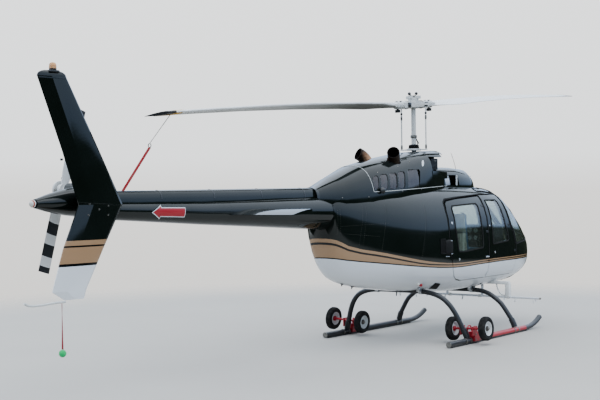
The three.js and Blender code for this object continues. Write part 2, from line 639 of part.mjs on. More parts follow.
// Warning strap and ball that hang from the foot of the fin
const STRAP = { x: -6470, top: 1017, bottom: 602, radius: 11 };
const strapEnds = [STRAP.top, STRAP.bottom].map((z) => new THREE.Vector3(STRAP.x, FIN_Y, z));
add('flag_strap', pipe(new THREE.LineCurve3(...strapEnds), STRAP.radius, 8, 8), 'red');
const BALL_RADIUS = 36;
const ballProfile = Array.from({ length: 9 }, (_, i) => {
  const a = -Math.PI / 2 + (Math.PI * i) / 8;
  return [BALL_RADIUS * Math.cos(a), BALL_RADIUS * Math.sin(a)];
});
add('flag_ball', turned(ballProfile.map(([r, h]) => [Math.max(0, r), h]), 'z',
  [STRAP.x, FIN_Y, STRAP.bottom - BALL_RADIUS - FIT], 14), 'lime');

// Skids, and the tubes with the sockets at their feet
const SOCKET_RADIUS = 41;
const SOCKET = [[902, 195], FOOT[1], [947, 84]];
const SKID_Z = SHOE_DEPTH + SKID_RADIUS;
const skidCurve = (y) => {
  const curve = new THREE.CurvePath();
  const [tail, bend, corner, tip] = [[-800, SKID_Z], [1400, SKID_Z], [1650, SKID_Z], [1850, SKID_Z + 112]]
    .map(([x, z]) => new THREE.Vector3(x, y, z));
  curve.add(new THREE.LineCurve3(tail, bend));
  curve.add(new THREE.QuadraticBezierCurve3(bend, corner, tip));
  return curve;
};
const SKID_STEPS = 24;
const skidSolid = (y, grow = 0) => pipe(skidCurve(y), SKID_RADIUS + grow, 12, SKID_STEPS);
const skidCutters = [1, -1].map((side) => skidSolid(side * SKID_HALF_TRACK, FIT));
for (const [place, x, lean, half] of TUBES) {
  const sockets = [1, -1].map((side) => bar(
    SOCKET.map((p) => legPoint(x, lean, side, p)), SOCKET_RADIUS, 12, 3));
  add(`cross_tube_${place}`, cut(join(archSolid(x, lean, half), ...sockets), ...skidCutters), 'black');
}
for (const [side, label] of [[1, 'left'], [-1, 'right']]) {
  const y = side * SKID_HALF_TRACK;
  const skid = join(skidSolid(y), box(-740, 1380, y - 24, y + 24, 0, SHOE_DEPTH + 20));
  add(`skid_${label}`, skid, 'black');
}

// Ground handling wheels: a red frame clamped on each skid carries one wheel each side of it, on an
// axle that rises outwards. The plates are given as distances outwards from the skid
const WHEEL = { x: -250, z: 199, tilt: 3, reach: 241, radius: 156, hub: 92, bore: 15.5 };
const AXLE_RADIUS = 15;
const CLAMP = { rear: -215, front: -65, half: 62, low: 30, high: 150 };
const PLATES = [[50, 62], [-130, -118]];
const tyreProfile = [[WHEEL.bore, -34], [70, -30], [WHEEL.hub, -42], [134, -46], [WHEEL.radius, -22],
  [WHEEL.radius, 22], [134, 46], [WHEEL.hub, 42], [70, 30], [WHEEL.bore, 34], [WHEEL.bore, -34]];
for (const [side, label] of [[1, 'left'], [-1, 'right']]) {
  const y = side * SKID_HALF_TRACK;
  const across = (x0, x1, inner, outer, z0, z1) => {
    const [ya, yb] = [y + side * inner, y + side * outer];
    return box(x0, x1, Math.min(ya, yb), Math.max(ya, yb), z0, z1);
  };
  const tilted = (geometry) => rotatedAbout(geometry, [1, 0, 0], side * WHEEL.tilt, [WHEEL.x, y, WHEEL.z]);
  const axle = rod(AXLE_RADIUS, -WHEEL.reach - 42, WHEEL.reach + 42, 'y', [WHEEL.x, y, WHEEL.z], 16);
  const frameSolid = cut(
    join(
      across(CLAMP.rear, CLAMP.front, -CLAMP.half, CLAMP.half, CLAMP.low, CLAMP.high),
      ...PLATES.map(([inner, outer]) => across(WHEEL.x - 26, -150, inner, outer, 110, WHEEL.z + 28)),
      across(CLAMP.rear, -150, PLATES[1][0], -50, 110, CLAMP.high),
      tilted(axle)),
    skidSolid(y, FIT),
    box(WHEEL.x - 200, WHEEL.x + 260, y - 25, y + 25, -10, SKID_Z));
  add(`wheel_frame_${label}`, frameSolid, 'red');
  for (const [end, place] of [[1, 'outer'], [-1, 'inner']]) {
    add(`wheel_${label}_${place}`, tilted(
      turned(tyreProfile, 'y', [WHEEL.x, y + side * end * WHEEL.reach, WHEEL.z], 24)), 'tyre');
  }
}

// Spray boom across under the nose, hung from the belly
const SPRAY = { x: 1380, z: 465, half: 1200, radius: 15, post: 290 };
const sprayBoom = join(
  rod(SPRAY.radius, -SPRAY.half, SPRAY.half, 'y', [SPRAY.x, 0, SPRAY.z], 10),
  ...[1, -1].flatMap((side) => [
    box(SPRAY.x - 14, SPRAY.x + 14, side * SPRAY.post - 14, side * SPRAY.post + 14, SPRAY.z, 760),
    box(SPRAY.x - 34, SPRAY.x + 34, side * SPRAY.post - 34, side * SPRAY.post + 34, 640, 760),
    rod(8, SPRAY.z - 46, SPRAY.z, 'z', [SPRAY.x, side * 640, 0], 8),
    rod(8, SPRAY.z - 46, SPRAY.z, 'z', [SPRAY.x, side * 1130, 0], 8),
  ]));
add('spray_boom', cut(sprayBoom, deck), 'white');

// Main rotor, at rest along the body with the rear blade pulled down
const hubAt = [0, 0, ROTOR_HEIGHT];
const ROTOR_TURN = 1.6;
const parked = (geometry) => rotatedAbout(geometry, [0, 0, 1], ROTOR_TURN, hubAt);
const teetered = (geometry) => rotatedAbout(geometry, [0, 1, 0], -TEETER, hubAt);
const MAST_FOOT = 2430 + FIT;
add('mast', turned([[0, MAST_FOOT], [MAST_RADIUS, MAST_FOOT], [MAST_RADIUS, ROTOR_HEIGHT - 50 - FIT],
  [0, ROTOR_HEIGHT - 50 - FIT]], 'z', [0, 0, 0], 16), 'white');
const YOKE = { reach: 330, half: 85, thick: 34 };
const yokePlan = [[-YOKE.reach, -60], [-120, -YOKE.half], [120, -YOKE.half], [YOKE.reach, -60],
  [YOKE.reach, 60], [120, YOKE.half], [-120, YOKE.half], [-YOKE.reach, 60]];
const gripAt = (end) => rod(52, 190, 470, 'x', [0, 0, ROTOR_HEIGHT], 16).scale(end, 1, 1);
const LINK_Y = 190;
const horn = (end) => [
  [end > 0 ? -22 : -235, end > 0 ? 235 : 22, -end * LINK_Y - 22, -end * LINK_Y + 22],
  [end > 0 ? 195 : -235, end > 0 ? 235 : -195, end > 0 ? -LINK_Y : 40, end > 0 ? -40 : LINK_Y],
].map(([x0, x1, y0, y1]) => box(x0, x1, y0, y1, ROTOR_HEIGHT - 14, ROTOR_HEIGHT + 14));
const yoke = join(
  planPrism(yokePlan, ROTOR_HEIGHT - YOKE.thick, ROTOR_HEIGHT + YOKE.thick),
  tidy(gripAt(1)), tidy(gripAt(-1)), ...horn(1), ...horn(-1));
const CROSS = { low: ROTOR_HEIGHT + 80, high: ROTOR_HEIGHT + 118, reach: 105, half: 20 };
const hub = join(
  teetered(yoke),
  rod(72, ROTOR_HEIGHT - 50, ROTOR_HEIGHT + 95, 'z', [0, 0, 0], 16),
  box(-CROSS.reach, CROSS.reach, -CROSS.half, CROSS.half, CROSS.low, CROSS.high),
  box(-CROSS.half, CROSS.half, -CROSS.reach, CROSS.reach, CROSS.low, CROSS.high));
add('rotor_hub', parked(hub), 'white');

// Blade stations: distance out, chord, thickness, and how far the blade has risen above the hub's plane.
// Its pitch falls evenly from root to tip, about a line a quarter of the chord back
const BLADE = [
  [400, 150, 62, 4],
  [660, 240, 56, 14],
  [900, BLADE_CHORD, 42, 24],
  [1500, BLADE_CHORD, 40, 42],
  [2500, BLADE_CHORD, 40, 56],
  [3500, BLADE_CHORD, 38, 56],
  [4300, BLADE_CHORD, 36, 47],
  [ROTOR_RADIUS, BLADE_CHORD, 32, 35],
];
const PITCH = { root: 13.5, tip: 5 };
const GRIP_RADIUS = 52;
const bladeRing = ([x, chord, thick, rise]) => {
  const pitch = PITCH.root + ((PITCH.tip - PITCH.root) * x) / ROTOR_RADIUS;
  const [c, s] = [Math.cos((pitch * Math.PI) / 180), Math.sin((pitch * Math.PI) / 180)];
  return wingSection.map(([t, h]) => {
    const [y, z] = [chord * (0.25 - t), h * thick];
    return [x, y * c - z * s, ROTOR_HEIGHT + rise + y * s + z * c];
  });
};
const blade = cut(skin(BLADE.map(bladeRing)), rod(GRIP_RADIUS + FIT, 100, 470 + FIT, 'x', hubAt, 16));
add('blade_forward', parked(teetered(blade)), 'white');
add('blade_rear', parked(teetered(rotatedAbout(blade, [0, 0, 1], 180, [0, 0, 0]))), 'white');
// Swashplate just over the cowl, the collar on it and the two links up to the pitch horns
const SWASH = { z: 2551, radius: 100, collar: 70, arm: LINK_Y };
const swashplate = join(
  turned([[MAST_RADIUS + FIT, SWASH.z], [SWASH.radius, SWASH.z], [SWASH.radius, SWASH.z + 20],
    [SWASH.collar, SWASH.z + 28], [SWASH.collar - 6, SWASH.z + 72], [MAST_RADIUS + FIT, SWASH.z + 72],
    [MAST_RADIUS + FIT, SWASH.z]], 'z', [0, 0, 0], 20),
  ...[1, -1].flatMap((side) => [
    box(-16, 16, side > 0 ? 70 : -SWASH.arm - 14, side > 0 ? SWASH.arm + 14 : -70, SWASH.z + 3, SWASH.z + 16),
    rod(9, SWASH.z + 10, ROTOR_HEIGHT - 18, 'z', [0, side * SWASH.arm, 0], 8),
  ]));
add('swashplate_links', parked(swashplate), 'black');

// Tail rotor on the port side, its gearbox in the boom's end
const tail = TAIL_ROTOR;
const gearbox = cut(
  join(rod(62, 60, 255, 'y', [tail.x, 0, tail.z], 20), rod(85, 40, 150, 'y', [tail.x, 0, tail.z - 20], 20)),
  cone, boomGrown, skin(COVER.map(([x, bottom, top, half]) =>
    oval(x, bottom - 60, top + FIT, half + FIT, bottom, 3, 2, 20))));
add('tail_gearbox', gearbox, 'green');
const tailBlade = (turn) => rotatedAbout(
  skin([30, 200, TAIL_ROTOR_RADIUS].map((r, i) => wingSection.map(([t, h]) => [
    tail.x + (t - 0.35) * [70, 133, 133][i], tail.y + h * [34, 16, 12][i], tail.z + r]))),
  [0, 1, 0], turn, [tail.x, tail.y, tail.z]);
const tailRotor = join(
  rod(26, 262, tail.y + 60, 'y', [tail.x, 0, tail.z], 16),
  rod(55, tail.y - 22, tail.y + 22, 'y', [tail.x, 0, tail.z], 16),
  rod(85, tail.y + 34, tail.y + 52, 'y', [tail.x, 0, tail.z], 16),
  tailBlade(tail.lean), tailBlade(tail.lean + 180));
add('tail_rotor', tailRotor, 'white');

// The origin goes under the middle of the whole length
const whole = new THREE.Box3();
helicopter.children.forEach((mesh) => whole.expandByObject(mesh));
const SHIFT = -(whole.min.x + whole.max.x) / 2;
helicopter.children.forEach((mesh) => mesh.geometry.translate(SHIFT, 0, 0));

export default helicopter;
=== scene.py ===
"""Dresses a light helicopter on high skids: finishes, seals, rotor fittings, wheels, seats and stage."""

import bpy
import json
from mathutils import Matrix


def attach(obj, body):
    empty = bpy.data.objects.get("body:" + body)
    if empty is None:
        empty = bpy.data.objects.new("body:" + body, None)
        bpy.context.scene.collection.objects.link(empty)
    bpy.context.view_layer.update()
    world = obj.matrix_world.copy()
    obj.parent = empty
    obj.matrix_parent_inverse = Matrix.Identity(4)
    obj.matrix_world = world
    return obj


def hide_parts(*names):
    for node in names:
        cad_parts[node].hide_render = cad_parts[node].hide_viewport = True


bl_info = {
    "name": "Light Helicopter Dressing",
    "version": (1, 0, 0),
    "blender": (4, 5, 0),
    "location": "3D View > Sidebar > Helicopter",
    "description": "Finishes and detailed pieces for a light helicopter, built round its packed solids",
    "category": "Object",
}

import json
import math

import bmesh
import bpy
from mathutils import Matrix, Vector
from mathutils.bvhtree import BVHTree

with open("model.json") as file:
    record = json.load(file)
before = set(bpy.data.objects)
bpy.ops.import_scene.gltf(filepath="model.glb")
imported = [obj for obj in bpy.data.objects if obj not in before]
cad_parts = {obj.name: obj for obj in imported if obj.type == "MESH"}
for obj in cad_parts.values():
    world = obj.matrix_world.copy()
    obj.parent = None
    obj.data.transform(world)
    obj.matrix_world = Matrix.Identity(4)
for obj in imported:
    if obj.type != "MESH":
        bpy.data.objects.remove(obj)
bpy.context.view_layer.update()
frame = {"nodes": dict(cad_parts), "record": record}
NODES = frame["nodes"]
BODY_OF = {node: body for body, nodes in frame["record"]["behaviour"]["bodies"].items() for node in nodes}

# Places are given in metres from the rotor mast along the body, and this takes them to the frame
MAST_X = 0.91747
HUB_Z = 3.178
SIDES = {"left": 1, "right": -1}


def at(x, y, z):
    return Vector((x + MAST_X, y, z))


# The parked rotor: its hub's centre, turned a little to port and tilted up at the nose
HUB = at(0, 0, HUB_Z)
PARKED_TURN, TEETER = math.radians(1.6), math.radians(-4.55)
PARKED = Matrix.Translation(HUB) @ Matrix.Rotation(PARKED_TURN, 4, "Z")
TEETERED = PARKED @ Matrix.Rotation(TEETER, 4, "Y")
TAIL_HUB = at(-5.96, 0.345, 2.05)
# A turn that takes a lathe's axis along the body
ALONG = Matrix.Rotation(math.radians(90), 4, "Y")
# The skids' line, the fin's plane and the side it stands on, and the front seats' line and lean
SKID_Y, FIN_Y = 0.962, -0.212
STARBOARD = Vector((0, -1, 0))
SEAT_Y, SEAT_LEAN = 0.295, math.radians(-98)


# Mesh making


def finished(name, bm, finish, body="airframe", sharp=32.0, flip=True):
    """Turns a bmesh into a piece that rides on a body, smooth apart from its sharp edges."""
    bmesh.ops.remove_doubles(bm, verts=bm.verts, dist=2e-5)
    if flip:
        bmesh.ops.recalc_face_normals(bm, faces=bm.faces)
    for face in bm.faces:
        face.smooth = True
    for edge in bm.edges:
        edge.smooth = len(edge.link_faces) == 2 and edge.calc_face_angle(0.0) < math.radians(sharp)
    mesh = bpy.data.meshes.new(name)
    bm.to_mesh(mesh)
    bm.free()
    mesh.materials.append(finish_named(finish))
    piece = bpy.data.objects.new(name, mesh)
    bpy.context.scene.collection.objects.link(piece)
    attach(piece, body)
    return piece


def added_since(bm, before):
    return [v for v in bm.verts if v not in before]


def turn_to(direction, place):
    """Matrix whose Z axis lies along a direction, at a place."""
    return Matrix.Translation(place) @ Vector(direction).to_track_quat("Z", "Y").to_matrix().to_4x4()


def seat_on(point, out):
    """Matrix seated on a surface: X runs ahead along it and Z points out of it."""
    out = Vector(out)
    across = out.cross(Vector((1, 0, 0))).normalized()
    return Matrix.Translation(point) @ Matrix((across.cross(out), across, out)).transposed().to_4x4()


def lathe(bm, profile, place, steps=32):
    """Spins a profile of (radius, height) about the Z axis of the matrix place."""
    before = set(bm.verts)
    verts = [bm.verts.new((r, 0.0, h)) for r, h in profile]
    edges = [bm.edges.new(pair) for pair in zip(verts, verts[1:])]
    bmesh.ops.spin(bm, geom=verts + edges, cent=(0, 0, 0), axis=(0, 0, 1), angle=math.tau, steps=steps,
                   use_merge=True, use_duplicate=False)
    new = added_since(bm, before)
    bmesh.ops.remove_doubles(bm, verts=new, dist=1e-6)
    bmesh.ops.transform(bm, matrix=place, verts=added_since(bm, before))


def rod(bm, start, end, radius, far_radius=None, segments=16):
    """A round bar or cone between two points."""
    start, end = Vector(start), Vector(end)
    place = turn_to(end - start, (start + end) / 2)
    bmesh.ops.create_cone(bm, cap_ends=True, segments=segments, radius1=radius,
                          radius2=radius if far_radius is None else far_radius,
                          depth=(end - start).length, matrix=place)


def block(bm, low, high, bevel=0.0, place=None, segments=2):
    """A box between two corners with its edges rounded."""
    before = set(bm.verts)
    low, high = Vector(low), Vector(high)
    form = Matrix.Translation((low + high) / 2) @ Matrix.Diagonal((*(high - low), 1))
    made = bmesh.ops.create_cube(bm, size=1.0, matrix=form)
    if bevel:
        edges = {e for v in made["verts"] for e in v.link_edges}
        bmesh.ops.bevel(bm, geom=list(edges), offset=bevel, segments=segments, affect="EDGES",
                        profile=0.5, material=-1)
    if place is not None:
        bmesh.ops.transform(bm, matrix=place, verts=added_since(bm, before))


def ball(bm, centre, radius, scale=(1, 1, 1), subdivisions=2):
    place = Matrix.Translation(centre) @ Matrix.Diagonal((*scale, 1.0))
    bmesh.ops.create_icosphere(bm, subdivisions=subdivisions, radius=radius, matrix=place)


def path_places(points, up=None, closed=False):
    """Matrices along a path: Z follows it, Y keeps to the given up direction or turns as little as it can."""
    points = [Vector(p) for p in points]
    count = len(points)
    places = []
    side = None
    for i, point in enumerate(points):
        ahead = points[(i + 1) % count] if closed or i < count - 1 else point
        behind = points[i - 1] if closed or i > 0 else point
        along = (ahead - behind).normalized()
        if up is not None:
            lift = up[i] if isinstance(up, list) else Vector(up)
            side = lift.cross(along).normalized()
        elif side is None:
            side = along.orthogonal().normalized()
        else:
            side = (side - along * side.dot(along)).normalized()
        turn = Matrix((side, along.cross(side), along)).transposed().to_4x4()
        places.append(Matrix.Translation(point) @ turn)
    return places


def sweep(bm, section, places, closed=False):
    """Pulls a closed section through a row of matrices by extruding its ring of edges."""
    first = [bm.verts.new(places[0] @ Vector((u, v, 0.0))) for u, v in section]
    ring = [bm.edges.new((first[i], first[(i + 1) % len(first)])) for i in range(len(first))]
    start = list(ring)
    if not closed:
        bm.faces.new(first)
    for before, after in zip(places, places[1:]):
        made = bmesh.ops.extrude_edge_only(bm, edges=ring)["geom"]
        moved = {g for g in made if isinstance(g, bmesh.types.BMVert)}
        bmesh.ops.transform(bm, matrix=after @ before.inverted(), verts=list(moved))
        ring = [g for g in made if isinstance(g, bmesh.types.BMEdge) and all(v in moved for v in g.verts)]
    if closed:
        bmesh.ops.bridge_loops(bm, edges=ring + start)
    else:
        bmesh.ops.contextual_create(bm, geom=ring)


def circle(radius, segments=10):
    return [(radius * math.cos(math.tau * k / segments), radius * math.sin(math.tau * k / segments))
            for k in range(segments)]


def rounded(width, height):
    """A flat section with its upper corners cut, that reaches a little below the line it stands on."""
    w, c, sink = width / 2, min(width, height) * 0.35, 0.0015
    return [(-w, -sink), (w, -sink), (w, height - c), (w - c, height), (-w + c, height), (-w, height - c)]


def smooth_path(points, steps=6, closed=False):
    """Points on a Catmull-Rom curve through the given ones."""
    points = [Vector(p) for p in points]
    count = len(points)
    result = []
    for i in range(count if closed else count - 1):
        p = [points[(i + k) % count] if closed else points[min(max(i + k, 0), count - 1)] for k in (-1, 0, 1, 2)]
        for step in range(steps):
            t = step / steps
            result.append(0.5 * (2 * p[1] + (p[2] - p[0]) * t + (2 * p[0] - 5 * p[1] + 4 * p[2] - p[3]) * t ** 2
                                 + (3 * p[1] - p[0] - 3 * p[2] + p[3]) * t ** 3))
    if not closed:
        result.append(points[-1])
    return result


def tube(bm, points, radius, segments=10, closed=False, steps=0):
    """A round tube along points, or along a smooth curve through them when steps is given."""
    if steps:
        points = smooth_path(points, steps, closed)
    sweep(bm, circle(radius, segments), path_places(points, closed=closed), closed)


def hexagon_bolt(bm, point, direction, size=0.012):
    """A bolt head with its washer, seated on a surface."""
    place = turn_to(direction, point)
    bmesh.ops.create_cone(bm, cap_ends=True, segments=16, radius1=size * 0.75, radius2=size * 0.7,
                          depth=size * 0.2, matrix=place @ Matrix.Translation((0, 0, size * 0.05)))
    bmesh.ops.create_cone(bm, cap_ends=True, segments=6, radius1=size * 0.55, radius2=size * 0.5,
                          depth=size * 0.5, matrix=place @ Matrix.Translation((0, 0, size * 0.35)))


def rivet(bm, point, out, radius=0.0042):
    """A rivet's domed head with few faces, because there are hundreds of them."""
    bmesh.ops.create_cone(bm, cap_ends=True, segments=7, radius1=radius, radius2=radius * 0.55,
                          depth=radius * 0.7, matrix=turn_to(out, Vector(point) + Vector(out) * radius * 0.2))


# The body's surface: station, bottom, top, half width, height of the widest line, upper and lower power
BODY = [
    (2.89, 1.0, 1.125, 0.06, 1.075, 2.0, 2.0), (2.825, 0.905, 1.208, 0.189, 1.075, 2.1, 2.1),
    (2.66, 0.8, 1.348, 0.357, 1.075, 2.2, 2.3), (2.42, 0.705, 1.503, 0.508, 1.07, 2.4, 2.5),
    (2.08, 0.647, 1.748, 0.605, 1.07, 2.65, 2.6), (1.7, 0.625, 1.988, 0.652, 1.08, 2.85, 2.7),
    (1.33, 0.608, 2.05, 0.665, 1.095, 2.95, 2.7), (0.8, 0.592, 2.075, 0.668, 1.115, 3.0, 2.75),
    (0.2, 0.606, 2.085, 0.663, 1.135, 3.0, 2.75), (-0.4, 0.655, 2.075, 0.64, 1.16, 2.85, 2.6),
    (-0.95, 0.712, 2.035, 0.57, 1.22, 3.0, 2.5), (-1.45, 0.783, 2.005, 0.46, 1.32, 3.2, 2.4),
    (-1.83, 0.87, 1.985, 0.34, 1.44, 3.3, 2.3), (-2.02, 0.965, 1.975, 0.28, 1.54, 3.3, 2.2),
    (-2.14, 1.16, 1.965, 0.24, 1.64, 2.9, 2.1), (-2.19, 1.42, 1.955, 0.212, 1.72, 2.4, 2.0),
]
# The cowl and the fairing ahead of it: station, bottom, top, half width, power of the upper corners
COWL = [
    (0.3, 1.95, 2.548, 0.345, 5.2), (-0.1, 1.95, 2.53, 0.4, 4.4), (-0.4, 1.95, 2.5, 0.418, 3.3),
    (-1.0, 1.93, 2.425, 0.405, 2.6), (-1.545, 1.9, 2.328, 0.352, 2.5), (-2.0, 1.88, 2.17, 0.252, 2.8),
    (-2.4, 1.85, 2.035, 0.12, 4.0),
]
FAIRING = [
    (1.33, 2.0, 2.15, 0.17, 2.6), (1.26, 2.0, 2.24, 0.24, 2.8), (1.08, 2.0, 2.305, 0.29, 3.0),
    (0.7, 2.0, 2.325, 0.31, 3.2), (0.2, 2.0, 2.325, 0.32, 3.2),
]
DOORS = {
    "front": [(0.897, 0.775), (1.7, 0.775), (1.742, 0.82), (1.755, 1.19), (1.672, 1.362), (1.575, 1.545),
              (1.545, 1.73), (1.54, 1.88), (1.492, 1.935), (0.897, 1.932)],
    "rear": [(0.19, 0.775), (0.877, 0.775), (0.877, 1.931), (0.19, 1.898), (-0.095, 1.874), (-0.148, 1.842),
             (-0.174, 1.765), (-0.174, 1.4), (-0.122, 1.041), (-0.085, 0.936), (-0.01, 0.846), (0.08, 0.797)],
}
WINDOWS = {
    "front": [(1.012, 1.262), (1.03, 1.245), (1.476, 1.27), (1.505, 1.29), (1.478, 1.391), (1.43, 1.493),
              (1.403, 1.659), (1.39, 1.815), (1.352, 1.851), (1.012, 1.851)],
    "rear": [(0.042, 1.195), (0.075, 1.18), (0.214, 1.179), (0.7, 1.206), (0.72, 1.24), (0.7, 1.56),
             (0.706, 1.785), (0.68, 1.809), (0.38, 1.801), (0.02, 1.785), (-0.01, 1.755), (-0.008, 1.45)],
}
ROOF_WINDOW = [(1.01, 0.34), (1.25, 0.322), (1.39, 0.225), (1.47, 0.11), (1.53, 0.11), (1.53, 0.37), (1.49, 0.4),
               (1.01, 0.412)]
CHIN_WINDOW = [(1.96, 0.11), (2.47, 0.11), (2.44, 0.24), (2.29, 0.34), (1.96, 0.4)]
SHELL = ("cabin_top", "lower_hull", "rear_body")
COWLS = ("engine_cowl", "rear_fairing")


def row_at(rows, x):
    """A row of a table at any station, on a smooth curve through the rows."""
    last = len(rows) - 1
    x = min(max(x, rows[last][0]), rows[0][0])
    i = next((k for k in range(last) if rows[k][0] >= x >= rows[k + 1][0]), last - 1)
    a, b, c, d = rows[max(i - 1, 0)], rows[i], rows[i + 1], rows[min(i + 2, last)]
    t = (x - b[0]) / (c[0] - b[0])
    step = c[0] - b[0]
    values = []
    for k in range(1, len(b)):
        start = c[k] - b[k] if i == 0 else (c[k] - a[k]) / (c[0] - a[0]) * step
        end = (d[k] - b[k]) / (d[0] - b[0]) * step
        values.append((2 * t ** 3 - 3 * t ** 2 + 1) * b[k] + (t ** 3 - 2 * t ** 2 + t) * start
                      + (3 * t ** 2 - 2 * t ** 3) * c[k] + (t ** 3 - t ** 2) * end)
    return values


def body_form(x):
    return row_at(BODY, x)


def cowl_form(x, rows=COWL):
    bottom, top, half, power = row_at(rows, x)
    return bottom - 0.1, top, half, bottom - 0.05, power, 2.0


def fairing_form(x):
    return cowl_form(x, FAIRING)


def outside(form, y, z):
    """Below 1 inside the section, 1 on its line, above 1 outside."""
    bottom, top, half, widest, upper, lower = form
    reach, power = (top - widest, upper) if z >= widest else (widest - bottom, lower)
    share = abs(y / half) ** power + abs((z - widest) / reach) ** power
    return share ** (1 / power)


def surface_normal(form_at):
    """A function that gives the outward direction of a lofted surface at any point on it."""
    def direction(point, reach=0.012):
        x, y, z = point.x - MAST_X, point.y, point.z
        form = form_at(x)
        across = outside(form, abs(y) + reach, z) - outside(form, max(abs(y) - reach, 0.0), z)
        up = outside(form, y, z + reach) - outside(form, y, z - reach)
        along = outside(form_at(x + reach), y, z) - outside(form_at(x - reach), y, z)
        return Vector((along, math.copysign(across, y), up)).normalized()
    return direction


body_normal = surface_normal(body_form)
cowl_normal = surface_normal(cowl_form)
fairing_normal = surface_normal(fairing_form)

TREES = {}


def seated(nodes, point, out, lift=0.0):
    """A point moved along its outward direction onto the outermost of some CAD nodes there."""
    hits = []
    for node in nodes:
        if node not in TREES:
            bm = bmesh.new()
            bm.from_mesh(NODES[node].data)
            TREES[node] = BVHTree.FromBMesh(bm)
            bm.free()
        hit, _, _, gap = TREES[node].ray_cast(point + out * 0.05, -out, 0.1)
        if hit is not None:
            hits.append((gap, hit))
    return (min(hits)[1] if hits else point) + out * lift


def beside(form_at, normal, x, z, side, nodes=(), lift=0.0):
    """The point on a surface at a station and height on one side, and its outward direction."""
    bottom, top, half, widest, upper, lower = form_at(x)
    reach, power = (top - widest, upper) if z >= widest else (widest - bottom, lower)
    point = at(x, side * half * max(0.0, 1 - min(1.0, abs(z - widest) / reach) ** power) ** (1 / power), z)
    out = normal(point)
    return seated(nodes, point, out, lift), out


def above(form_at, normal, x, y, nodes=(), lift=0.0, under=False):
    """The point on a roof, or under a belly, at a station and a distance out, and its outward direction."""
    bottom, top, half, widest, upper, lower = form_at(x)
    reach, power = (bottom - widest, lower) if under else (top - widest, upper)
    point = at(x, y, widest + reach * max(0.0, 1 - min(1.0, abs(y) / half) ** power) ** (1 / power))
    out = normal(point)
    return seated(nodes, point, out, lift), out


def on_body(x, z, side, nodes=SHELL, lift=0.0):
    return beside(body_form, body_normal, x, z, side, nodes, lift)


def on_cowl(x, z, side, lift=0.0):
    return beside(cowl_form, cowl_normal, x, z, side, COWLS, lift)


def on_fairing(x, z, side, lift=0.0):
    return beside(fairing_form, fairing_normal, x, z, side, ("forward_fairing",), lift)


def spaced(outline, step, closed=True):
    """Points along an outline, no further apart than a step."""
    pairs = list(zip(outline, outline[1:] + outline[:1])) if closed else list(zip(outline, outline[1:]))
    points = []
    for (a, b), (c, d) in pairs:
        parts = max(1, math.ceil(math.hypot(c - a, d - b) / step))
        points += [(a + (c - a) * k / parts, b + (d - b) * k / parts) for k in range(parts)]
    return points if closed else points + [outline[-1]]


def moved_out(outline, distance):
    """An outline with every side moved out by a distance; its points go round anticlockwise."""
    result = []
    for i, (x, z) in enumerate(outline):
        here = Vector((x, z))
        first = (here - Vector(outline[i - 1])).normalized()
        second = (Vector(outline[(i + 1) % len(outline)]) - here).normalized()
        corner = Vector((first.y + second.y, -first.x - second.x))
        result.append(tuple(here + corner * (2 * distance / corner.length_squared)))
    return result


def strip(bm, spots, section, closed=False):
    """A strip of one section along spots, each a point and its outward direction."""
    sweep(bm, section, path_places([p for p, _ in spots], [n for _, n in spots], closed), closed)


def follow_surface(piece, normal_of, limit=0.87):
    """Gives faces that lie along a smooth surface that surface's own shading."""
    mesh = piece.data
    normals = [corner.vector.copy() for corner in mesh.corner_normals]
    for polygon in mesh.polygons:
        for k in polygon.loop_indices:
            out = normal_of(mesh.vertices[mesh.loops[k].vertex_index].co)
            match = out.dot(polygon.normal)
            if abs(match) > limit:
                normals[k] = out if match > 0 else -out
    mesh.normals_split_custom_set(normals)


def dressed(node, finish, normal_of=None, sharp=32.0, bevel=0.0, lining=None):
    """A welded copy of a CAD node with smooth shading and its finish, which stands for the node."""
    bm = bmesh.new()
    bm.from_mesh(NODES[node].data)
    bmesh.ops.remove_doubles(bm, verts=bm.verts, dist=2e-5)
    if bevel:
        bmesh.ops.dissolve_limit(bm, angle_limit=math.radians(0.5), verts=bm.verts, edges=bm.edges)
        edges = [e for e in bm.edges if len(e.link_faces) == 2 and e.calc_face_angle(0.0) > math.radians(40)]
        bmesh.ops.bevel(bm, geom=edges, offset=bevel, segments=2, affect="EDGES", profile=0.5, material=-1,
                        clamp_overlap=True)
    piece = finished(f"{node}_dressed", bm, finish, BODY_OF[node], sharp, flip=False)
    if normal_of:
        follow_surface(piece, normal_of)
    if lining:
        # Faces inside the shell that look inwards are lined
        piece.data.materials.append(finish_named(lining))
        for polygon in piece.data.polygons:
            x, y, z = polygon.center - Vector((MAST_X, 0, 0))
            if outside(body_form(x), y, z) < 0.986 and polygon.normal.dot(body_normal(polygon.center)) < -0.6:
                polygon.material_index = 1
    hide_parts(node)
    return piece


# Finishes


def linear(code):
    """An sRGB hex colour as linear red, green and blue with full opacity."""
    parts = [int(code[k:k + 2], 16) / 255 for k in (1, 3, 5)]
    return tuple(c / 12.92 if c <= 0.04045 else ((c + 0.055) / 1.055) ** 2.4 for c in parts) + (1.0,)


def tint(colour):
    """A colour that is a hex code, or the name of one in the add-on's colour settings."""
    if colour.startswith("#"):
        return linear(colour)
    return (*getattr(bpy.context.scene.helicopter_colours, colour), 1.0)


def add(tree, kind, inputs=None, stops=(), **settings):
    """Adds a shader node. Each input is a value or another node's output, each stop a share and a colour."""
    node = tree.nodes.new("ShaderNode" + kind)
    for key, value in settings.items():
        setattr(node, key, value)
    for key, value in (inputs or {}).items():
        if isinstance(value, bpy.types.NodeSocket):
            tree.links.new(value, node.inputs[key])
        else:
            node.inputs[key].default_value = value
    for k, (share, colour) in enumerate(stops):
        elements = node.color_ramp.elements
        stop = elements[k] if k < 2 else elements.new(share)
        stop.position = share
        stop.color = linear(colour) if isinstance(colour, str) else colour
    return node


